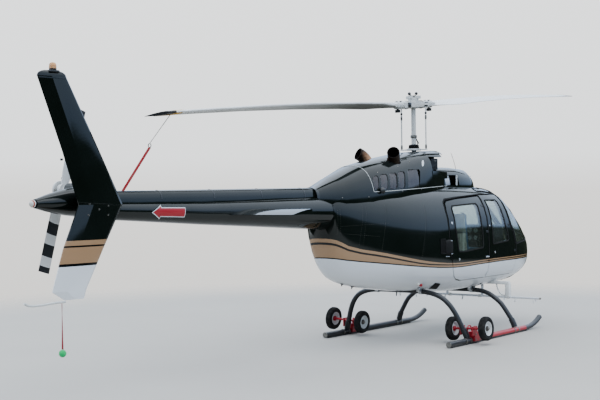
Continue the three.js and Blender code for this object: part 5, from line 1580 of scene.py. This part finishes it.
def swollen(name, size, places, channels, voxel=0.01, cap=0.013):
    """Cushion meshes blown up by one cloth simulation and sewn in channels, one for each place.

    A cushion's back lies in the X and Y of its place; its length runs along X and its front is Z.
    """
    length, width, thick = size
    scene = bpy.context.scene
    bm = bmesh.new()
    margin = cap * 0.7
    block(bm, (margin, -width / 2 + margin, 0), (length - margin, width / 2 - margin, thick - margin), thick * 0.28,
          segments=4)
    mesh = bpy.data.meshes.new(f"{name}_form")
    bm.to_mesh(mesh)
    bm.free()
    form = bpy.data.objects.new(f"{name}_form", mesh)
    scene.collection.objects.link(form)
    grid = form.modifiers.new("grid", "REMESH")
    grid.mode = "VOXEL"
    grid.voxel_size = voxel
    form.data = evaluated(form)
    form.modifiers.clear()
    start = [v.co.copy() for v in form.data.vertices]
    cloth = form.modifiers.new("cloth", "CLOTH")
    cloth.settings.use_pressure = True
    cloth.settings.uniform_pressure_force = 4.0
    cloth.settings.effector_weights.gravity = 0.0
    cloth.point_cache.frame_start = 1
    cloth.point_cache.frame_end = 20
    for number in range(1, 21):
        scene.frame_set(number)
    blown = [v.co.copy() for v in evaluated(form).vertices]
    form.modifiers.clear()
    scene.frame_set(1)
    for vertex, first, last in zip(form.data.vertices, start, blown):
        move = last - first
        moved = first + move * min(1.0, cap / max(move.length, 1e-9))
        vertex.co = Vector((moved.x, moved.y, max(moved.z, 0.0)))
    finer = form.modifiers.new("finer", "SUBSURF")
    finer.levels = finer.render_levels = 1
    mesh = evaluated(form)
    bpy.data.objects.remove(form)
    # Sewn channels pull the front in along their stitches
    for vertex in mesh.vertices:
        if vertex.co.z > thick * 0.4:
            for axis, line in channels:
                gap = (vertex.co[axis] - line) / 0.009
                vertex.co.z -= min(0.014, thick * 0.2) * math.exp(-gap * gap)
    mesh.polygons.foreach_set("use_smooth", [True] * len(mesh.polygons))
    bm = bmesh.new()
    bm.from_mesh(mesh)
    tree = BVHTree.FromBMesh(bm)
    bm.free()
    # Piping sits where the front's edge bulges most
    height = thick * 0.62
    edge = []
    for x, y in spaced([(0.0, -width / 2), (length, -width / 2), (length, width / 2), (0.0, width / 2)], 0.02):
        centre = Vector((min(max(x, width * 0.3), length - width * 0.3) if length > width * 0.6 else length / 2,
                         min(max(y, -width * 0.2), width * 0.2), height))
        begin_at = Vector((x, y, height))
        way = (centre - begin_at).normalized()
        hit = tree.ray_cast(begin_at - way * 0.1, way)[0]
        edge.append(hit if hit is not None else begin_at)
    pieces = []
    for key, (place, material, slot) in places.items():
        copy = mesh.copy()
        copy.transform(place)
        copy.materials.clear()
        copy.materials.append(finish_named(material))
        piece = bpy.data.objects.new(key, copy)
        scene.collection.objects.link(piece)
        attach(piece, "airframe")
        bm = bmesh.new()
        tube(bm, [place @ p for p in edge], 0.0042, 6, closed=True)
        finished(f"{key}_piping", bm, material, "airframe")
        pieces.append(piece)
    return pieces


def make_seats(sizes):
    """Padded seats with sewn channels on moulded bases, and the bench behind them."""
    flat, back = {}, {}
    for side, sign in SIDES.items():
        y = sign * SEAT_Y
        flat[f"front_cushion_{side}"] = (Matrix.Translation(at(0.735, y, 1.065)), "seat_cloth", "seat_cloth")
        upright = Matrix.Rotation(SEAT_LEAN, 4, "Y") @ Matrix.Rotation(math.pi, 4, "X")
        back[f"front_backrest_{side}"] = (Matrix.Translation(at(0.635, y, 1.135)) @ upright, "seat_cloth", "seat_cloth")
    swollen("front_cushion", (0.45, 0.36, 0.115), flat, [(0, 0.11), (0, 0.2), (0, 0.29), (0, 0.38)])
    swollen("front_backrest", (0.55, 0.36, 0.085), back, [(0, 0.12), (0, 0.23), (0, 0.34), (0, 0.45)])
    bench = {"bench_cushion": (Matrix.Translation(at(-0.2, 0, 1.065)), "bench_cloth", "seat_cloth")}
    rest = {"bench_backrest": (Matrix.Translation(at(-0.335, 0, 1.14)) @ Matrix.Rotation(math.radians(-97), 4, "Y")
                               @ Matrix.Rotation(math.pi, 4, "X"), "bench_cloth", "seat_cloth")}
    thirds = [(1, -0.147), (1, 0.147)]
    swollen("bench_cushion", (0.4, 0.87, 0.115), bench, thirds + [(0, 0.14), (0, 0.27)], 0.012)
    swollen("bench_backrest", (0.56, 0.87, 0.08), rest, thirds + [(0, 0.15), (0, 0.3), (0, 0.43)], 0.012)

    for side, sign in SIDES.items():
        bm = bmesh.new()
        low, high = sorted((sign * 0.115, sign * 0.475))
        block(bm, at(0.66, low, 0.757), at(1.15, high, 1.07), 0.02, segments=3)
        block(bm, (0, -0.17, -0.02), (0.53, 0.17, 0.0), 0.009,
              Matrix.Translation(at(0.632, sign * SEAT_Y, 1.135)) @ Matrix.Rotation(SEAT_LEAN, 4, "Y")
              @ Matrix.Rotation(math.pi, 4, "X"))
        seat = finished(f"front_seat_base_{side}", bm, "cabin_lining")
        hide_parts(f"front_seat_{side}")
    bm = bmesh.new()
    block(bm, at(-0.345, -0.435, 0.757), at(0.18, 0.435, 1.07), 0.02, segments=3)
    base = finished("bench_base", bm, "cabin_lining")
    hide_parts("rear_bench")

    bm = bmesh.new()
    for y in (-0.395, -0.195, 0.195, 0.395):
        flat_belt = [(-0.022, -0.0012), (0.022, -0.0012), (0.022, 0.0012), (-0.022, 0.0012)]
        points = [at(0.585, y, 1.69), at(0.655, y, 1.65), at(0.7, y, 1.4), at(0.745, y, 1.2), at(0.8, y * 0.98, 1.188)]
        sweep(bm, flat_belt, path_places(smooth_path(points, 5), (1, 0, 0.4)))
    finished("seat_belts", bm, "bench_cloth")


def dress_inside(sizes):
    """The divider, the instrument console and the sticks."""
    dressed("control_divider", "cabin_lining", bevel=0.008)
    dressed("instrument_console", "console_plastic", bevel=0.008)
    bm = bmesh.new()
    for k in range(-9, 10):
        block(bm, at(0.538, k * 0.048 - 0.016, 0.79), at(0.551, k * 0.048 + 0.016, 1.39), 0.004)
        block(bm, at(0.462, k * 0.048 - 0.016, 0.79), at(0.475, k * 0.048 + 0.016, 1.39), 0.004)
    finished("divider_ribs", bm, "cabin_lining")
    bm = bmesh.new()
    block(bm, at(0.462, -0.483, 1.412), at(0.553, 0.483, 1.426), 0.003)
    for x in (1.736, ):
        block(bm, at(x - 0.002, -0.262, 1.458), at(x + 0.006, 0.262, 1.468), 0.002)
    finished("divider_strip", bm, "aluminium")

    # Dials with raised rims and needles on the side of the console that faces the seats
    faces, rims = bmesh.new(), bmesh.new()
    for row, z in enumerate((1.4, 1.29)):
        for k in range(-2, 3):
            turn = turn_to((-1, 0, 0), at(1.74, 0.1 * k, z))
            radius = 0.038 if row == 0 else 0.033
            lathe(faces, [(0.0, 0.002), (radius, 0.002), (radius, -0.003)], turn, 24)
            lathe(rims, [(radius, -0.002), (radius, 0.007), (radius + 0.005, 0.006), (radius + 0.007, -0.002)],
                  turn, 24)
            spun = turn @ Matrix.Rotation(0.7 * k + row, 4, "Z")
            block(rims, (-0.002, -0.004, 0.003), (0.002, radius * 0.8, 0.005), 0.0008, spun, 1)
    finished("instrument_faces", faces, "dial_plastic")
    finished("instrument_rims", rims, "black_enamel")

    bm = bmesh.new()
    for sign in SIDES.values():
        tube(bm, [at(1.3, sign * SEAT_Y, 0.765), at(1.36, sign * SEAT_Y, 0.95), at(1.33, sign * SEAT_Y, 1.12),
                  at(1.27, sign * SEAT_Y, 1.2)], 0.011, 10, steps=6)
        tube(bm, [at(1.27, sign * SEAT_Y, 1.2), at(1.25, sign * SEAT_Y, 1.25), at(1.255, sign * SEAT_Y, 1.31)],
             0.017, 12, steps=5)
        tube(bm, [at(0.7, sign * 0.07, 0.9), at(0.95, sign * 0.07, 1.0), at(1.1, sign * 0.07, 1.09)], 0.013, 10,
             steps=5)
        for y in (0.17, 0.4):
            rod(bm, at(1.95, sign * y, 0.78), at(1.88, sign * y, 0.93), 0.008)
            block(bm, at(1.85, sign * y - 0.05, 0.92), at(1.88, sign * y + 0.05, 0.99), 0.006)
    finished("pilot_controls", bm, "black_enamel")


def make_spray_boom(sizes):
    """The spray boom with its nozzles, clamps, hose and stay."""
    dressed("spray_boom", "white_enamel", sharp=40)
    bm = bmesh.new()
    x, z = 1.38, 0.465
    for y in (0.246, -0.7, 0.7, -0.246):
        lathe(bm, [(0.0145, -0.022), (0.021, -0.022), (0.023, -0.012), (0.023, 0.012), (0.021, 0.022), (0.0145, 0.022),
                   (0.0145, -0.022)], turn_to((0, 1, 0), at(x, y, z)), 24)
    for y in (0.322, 0.029, -0.816, -1.1, 0.816, 1.1):
        rod(bm, at(x, y, z), at(x - 0.018, y, z - 0.045), 0.0085, segments=12)
        rod(bm, at(x - 0.018, y, z - 0.045), at(x - 0.024, y, z - 0.062), 0.012, 0.009, 12)
    for sign in SIDES.values():
        block(bm, at(x - 0.032, sign * 0.7 - 0.034, z), at(x + 0.032, sign * 0.7 + 0.034, 0.67), 0.008)
        low, high = sorted((sign * 0.72, sign * 0.285))
        block(bm, at(x - 0.03, low, 0.645), at(x + 0.03, high, 0.69), 0.006)
    finished("boom_nozzles", bm, "white_plastic")

    bm = bmesh.new()
    hose = [at(1.38, -0.5, 0.748), at(1.38, -0.512, 0.7), at(1.38, -0.522, 0.64), at(1.38, -0.534, 0.587),
            at(1.38, -0.57, 0.52), at(1.38, -0.614, 0.493), at(1.38, -0.692, 0.487)]
    tube(bm, hose, 0.009, 10, steps=5)
    finished("boom_hose", bm, "white_plastic")
    bm = bmesh.new()
    for sign in SIDES.values():
        for u, v in ((-0.022, -0.022), (0.022, -0.022), (-0.022, 0.022), (0.022, 0.022)):
            hexagon_bolt(bm, at(x + u, sign * 0.29 + v, 0.641), (0, 0, -1), 0.012)
        lathe(bm, [(0.0, 0.006), (0.012, 0.006), (0.0155, 0.0), (0.0155, -0.012)],
              turn_to((0, sign, 0), at(x, sign * 1.2, z)), 20)
    finished("boom_bolts", bm, "steel")


def make_belly_fittings(sizes):
    """Drains, lamps, aerials and straps under the belly."""
    bm = bmesh.new()
    for x, low in ((-1.754, 0.835), (-1.535, 0.788), (0.312, 0.561), (-0.48, 0.6)):
        point, out = above(body_form, body_normal, x, 0.0, SHELL, under=True)
        lathe(bm, [(0.02, -0.003), (0.02, 0.004), (0.012, 0.008), (0.009, 0.012)], turn_to(out, point), 18)
        rod(bm, point, at(x - 0.01, 0, min(low, point.z - 0.03)), 0.009, 0.006, 12)
    for x, y in ((-0.535, -0.5), (-0.9, 0.45)):
        point, out = above(body_form, body_normal, x, y * 0.75, SHELL, under=True)
        lathe(bm, [(0.0, 0.001), (0.016, 0.001), (0.02, 0.003), (0.022, -0.002)], turn_to(out, point), 20)
    finished("belly_drains", bm, "black_enamel")

    for name, x, y, finish, slot in (("white", -0.68, 0.45, "clear_lens", "clear_lens"),
                                     ("red", -0.6, 0.445, "red_enamel", "red_lens")):
        bm = bmesh.new()
        for sign in SIDES.values():
            point, out = above(body_form, body_normal, x, sign * y, SHELL, under=True)
            turn = turn_to(out, point)
            lathe(bm, [(0.0, 0.026), (0.012, 0.025), (0.02, 0.018), (0.023, 0.006), (0.023, -0.004)], turn, 24)
        finished(f"belly_lamps_{name}", bm, finish, "airframe")

    bm = bmesh.new()
    for sign in SIDES.values():
        rows = []
        for k in range(6):
            share, y = k / 5, sign * (0.39 + 0.12 * k / 5)
            spots = [above(body_form, body_normal, x, y, SHELL, 0.004, True)[0]
                     for x in (-0.3 - 0.04 * share, -0.25 - 0.035 * share, -0.19 - 0.03 * share, -0.12 - 0.09 * share)]
            verts = [bm.verts.new(point) for point in spots]
            rows.append([bm.edges.new(pair) for pair in zip(verts, verts[1:])])
        for first, second in zip(rows, rows[1:]):
            bmesh.ops.bridge_loops(bm, edges=first + second)
        spots = [above(body_form, body_normal, 1.02, sign * (0.24 + 0.24 * k / 8), SHELL, under=True) for k in range(9)]
        strip(bm, spots, rounded(0.03, 0.004))
    bmesh.ops.recalc_face_normals(bm, faces=bm.faces)
    plain = [f for f in bm.faces if any(len(e.link_faces) == 1 for v in f.verts for e in v.link_edges)
             or all(abs(v.co.x - MAST_X) < 0.36 and v.co.x < MAST_X for v in f.verts)]
    bmesh.ops.solidify(bm, geom=plain, thickness=0.005)
    finished("belly_straps", bm, "seal_rubber")

    bm = bmesh.new()
    for x in [2.2 - 0.06 * k for k in range(62)]:
        for y in (-0.2, 0.2):
            if body_form(x)[0] < 1.1:
                rivet(bm, *above(body_form, body_normal, x, y, SHELL, under=True), 0.0034)
    finished("belly_rivets", bm, "white_enamel")


# Add-on


class HelicopterStage(bpy.types.PropertyGroup):
    floor_radius: bpy.props.FloatProperty(
        name="Floor radius", description="Reach of the pale floor round the helicopter", default=11.0, min=8.0,
        unit="LENGTH")
    sky_strength: bpy.props.FloatProperty(
        name="Sky strength", description="Brightness of the soft sky light", default=2.0, min=0.0)
    backdrop_strength: bpy.props.FloatProperty(
        name="Backdrop strength", description="Brightness of the plain backdrop behind the helicopter", default=1.6,
        min=0.0)
    lamp_power: bpy.props.FloatProperty(
        name="Lamp power", description="Power of the large soft lamp overhead", default=300.0, min=0.0,
        unit="POWER")


class HelicopterColours(bpy.types.PropertyGroup):
    green: bpy.props.FloatVectorProperty(
        name="Upper body", description="Enamel on the upper body, boom and fin", default=linear("#0A130F")[:3],
        min=0.0, max=1.0, subtype="COLOR")
    white: bpy.props.FloatVectorProperty(
        name="Lower body", description="Enamel on the belly and the fin's foot", default=linear("#D5D8DA")[:3],
        min=0.0, max=1.0, subtype="COLOR")
    gold: bpy.props.FloatVectorProperty(
        name="Stripe", description="Enamel of the broad stripe", default=linear("#A08366")[:3], min=0.0, max=1.0,
        subtype="COLOR")
    line: bpy.props.FloatVectorProperty(
        name="Stripe edge", description="Thin lines along the stripe", default=linear("#060707")[:3], min=0.0,
        max=1.0, subtype="COLOR")
    red: bpy.props.FloatVectorProperty(
        name="Wheel frames", description="Enamel on the ground wheel frames", default=linear("#A5131F")[:3],
        min=0.0, max=1.0, subtype="COLOR")
    floor: bpy.props.FloatVectorProperty(
        name="Floor", description="Colour of the floor", default=linear("#B4B1AB")[:3], min=0.0, max=1.0,
        subtype="COLOR")


class HelicopterSizes(bpy.types.PropertyGroup):
    strap_width: bpy.props.FloatProperty(
        name="Strap width", description="Width of the warning strap's webbing", default=0.022, min=0.01, max=0.03,
        unit="LENGTH")
    tyre_radius: bpy.props.FloatProperty(
        name="Tyre radius", description="Radius of the ground wheels' tyres", default=0.156, min=0.12, max=0.156,
        unit="LENGTH")
    rivet_pitch: bpy.props.FloatProperty(
        name="Rivet pitch", description="Distance between rivets in the rear body's skin", default=0.028, min=0.015,
        max=0.1, unit="LENGTH")


class HELICOPTER_OT_stage(bpy.types.Operator):
    """Make the floor, the sky, the lamps and the camera"""

    bl_idname = "helicopter.stage"
    bl_label = "Stage"

    def execute(self, context):
        make_stage(context.scene.helicopter_stage)
        return {"FINISHED"}


class HELICOPTER_OT_flag_strap(bpy.types.Operator):
    """Make the strap and ball under the fin"""

    bl_idname = "helicopter.flag_strap"
    bl_label = "Warning strap"

    def execute(self, context):
        make_flag_strap(context.scene.helicopter_sizes)
        return {"FINISHED"}


class HELICOPTER_OT_cabin(bpy.types.Operator):
    """Dress the cabin shell, doors and panes"""

    bl_idname = "helicopter.cabin"
    bl_label = "Cabin"

    def execute(self, context):
        dress_cabin(context.scene.helicopter_sizes)
        return {"FINISHED"}


class HELICOPTER_OT_seals(bpy.types.Operator):
    """Make the seals round doors and panes"""

    bl_idname = "helicopter.seals"
    bl_label = "Seals"

    def execute(self, context):
        make_seals(context.scene.helicopter_sizes)
        return {"FINISHED"}


class HELICOPTER_OT_door_hardware(bpy.types.Operator):
    """Make the locks, levers and hinges of the doors"""

    bl_idname = "helicopter.door_hardware"
    bl_label = "Door hardware"

    def execute(self, context):
        make_door_hardware(context.scene.helicopter_sizes)
        return {"FINISHED"}


class HELICOPTER_OT_rear_fittings(bpy.types.Operator):
    """Make the louvres, scoops, seams and rivets behind the doors"""

    bl_idname = "helicopter.rear_fittings"
    bl_label = "Rear body fittings"

    def execute(self, context):
        make_rear_fittings(context.scene.helicopter_sizes)
        return {"FINISHED"}


class HELICOPTER_OT_cowlings(bpy.types.Operator):
    """Dress the rear body and cowlings and make their fittings"""

    bl_idname = "helicopter.cowlings"
    bl_label = "Cowlings"

    def execute(self, context):
        dress_cowlings(context.scene.helicopter_sizes)
        return {"FINISHED"}


class HELICOPTER_OT_engine(bpy.types.Operator):
    """Make the engine and gearbox housings and their hoses"""

    bl_idname = "helicopter.engine"
    bl_label = "Engine"

    def execute(self, context):
        make_engine(context.scene.helicopter_sizes)
        return {"FINISHED"}


class HELICOPTER_OT_exhausts(bpy.types.Operator):
    """Make the exhaust stacks"""

    bl_idname = "helicopter.exhausts"
    bl_label = "Exhausts"

    def execute(self, context):
        make_exhausts(context.scene.helicopter_sizes)
        return {"FINISHED"}


class HELICOPTER_OT_tail(bpy.types.Operator):
    """Dress the boom, fin, stabilizer and tail lamps"""

    bl_idname = "helicopter.tail"
    bl_label = "Tail"

    def execute(self, context):
        dress_tail(context.scene.helicopter_sizes)
        return {"FINISHED"}


class HELICOPTER_OT_gear(bpy.types.Operator):
    """Dress the cross tubes and skids"""

    bl_idname = "helicopter.gear"
    bl_label = "Landing gear"

    def execute(self, context):
        dress_gear(context.scene.helicopter_sizes)
        return {"FINISHED"}


class HELICOPTER_OT_wheels(bpy.types.Operator):
    """Make the tyres, rims and hub caps"""

    bl_idname = "helicopter.wheels"
    bl_label = "Ground wheels"

    def execute(self, context):
        make_wheels(context.scene.helicopter_sizes)
        return {"FINISHED"}


class HELICOPTER_OT_wheel_frames(bpy.types.Operator):
    """Dress the clamps that hold the ground wheels"""

    bl_idname = "helicopter.wheel_frames"
    bl_label = "Wheel frames"

    def execute(self, context):
        dress_wheel_frames(context.scene.helicopter_sizes)
        return {"FINISHED"}


class HELICOPTER_OT_rotor(bpy.types.Operator):
    """Dress the main rotor and make the hub's fittings"""

    bl_idname = "helicopter.rotor"
    bl_label = "Main rotor"

    def execute(self, context):
        dress_rotor(context.scene.helicopter_sizes)
        return {"FINISHED"}


class HELICOPTER_OT_tie_down(bpy.types.Operator):
    """Make the clip and strap that hold the aft blade"""

    bl_idname = "helicopter.tie_down"
    bl_label = "Tie-down"

    def execute(self, context):
        make_tie_down(context.scene.helicopter_sizes)
        return {"FINISHED"}


class HELICOPTER_OT_tail_rotor(bpy.types.Operator):
    """Dress the tail rotor and make its fittings"""

    bl_idname = "helicopter.tail_rotor"
    bl_label = "Tail rotor"

    def execute(self, context):
        dress_tail_rotor(context.scene.helicopter_sizes)
        return {"FINISHED"}


class HELICOPTER_OT_seats(bpy.types.Operator):
    """Make the padded seats and the bench"""

    bl_idname = "helicopter.seats"
    bl_label = "Seats"

    def execute(self, context):
        make_seats(context.scene.helicopter_sizes)
        return {"FINISHED"}


class HELICOPTER_OT_inside(bpy.types.Operator):
    """Dress the divider and console and make the controls"""

    bl_idname = "helicopter.inside"
    bl_label = "Inside"

    def execute(self, context):
        dress_inside(context.scene.helicopter_sizes)
        return {"FINISHED"}


class HELICOPTER_OT_spray_boom(bpy.types.Operator):
    """Dress the spray boom and make its nozzles and hose"""

    bl_idname = "helicopter.spray_boom"
    bl_label = "Spray boom"

    def execute(self, context):
        make_spray_boom(context.scene.helicopter_sizes)
        return {"FINISHED"}


class HELICOPTER_OT_belly(bpy.types.Operator):
    """Make the drains, lamps and straps under the belly"""

    bl_idname = "helicopter.belly"
    bl_label = "Belly fittings"

    def execute(self, context):
        make_belly_fittings(context.scene.helicopter_sizes)
        return {"FINISHED"}


OPERATORS = [
    HELICOPTER_OT_stage, HELICOPTER_OT_flag_strap,
    HELICOPTER_OT_cabin,
    HELICOPTER_OT_seals,
    HELICOPTER_OT_door_hardware,
    HELICOPTER_OT_rear_fittings,
    HELICOPTER_OT_cowlings,
    HELICOPTER_OT_engine,
    HELICOPTER_OT_exhausts,
    HELICOPTER_OT_tail,
    HELICOPTER_OT_gear,
    HELICOPTER_OT_wheels,
    HELICOPTER_OT_wheel_frames,
    HELICOPTER_OT_rotor,
    HELICOPTER_OT_tie_down,
    HELICOPTER_OT_tail_rotor,
    HELICOPTER_OT_seats,
    HELICOPTER_OT_inside,
    HELICOPTER_OT_spray_boom,
    HELICOPTER_OT_belly,
]


class HELICOPTER_PT_panel(bpy.types.Panel):
    """Lists the helicopter's groups of pieces and their settings"""

    bl_label = "Helicopter"
    bl_space_type = "VIEW_3D"
    bl_region_type = "UI"
    bl_category = "Helicopter"

    def draw(self, context):
        for operator in OPERATORS:
            self.layout.operator(operator.bl_idname)
        for group in (context.scene.helicopter_sizes, context.scene.helicopter_colours,
                      context.scene.helicopter_stage):
            for key in group.bl_rna.properties.keys():
                if key not in ("rna_type", "name"):
                    self.layout.prop(group, key)


CLASSES = [HelicopterStage, HelicopterColours, HelicopterSizes, *OPERATORS, HELICOPTER_PT_panel]


def register():
    for cls in CLASSES:
        bpy.utils.register_class(cls)
    bpy.types.Scene.helicopter_stage = bpy.props.PointerProperty(type=HelicopterStage)
    bpy.types.Scene.helicopter_colours = bpy.props.PointerProperty(type=HelicopterColours)
    bpy.types.Scene.helicopter_sizes = bpy.props.PointerProperty(type=HelicopterSizes)


def unregister():
    for name in ("helicopter_sizes", "helicopter_colours", "helicopter_stage"):
        delattr(bpy.types.Scene, name)
    for cls in reversed(CLASSES):
        bpy.utils.unregister_class(cls)


def main():
    register()
    for operator in OPERATORS:
        getattr(bpy.ops.helicopter, operator.bl_idname.split(".")[1])()


if __name__ == "__main__":
    main()
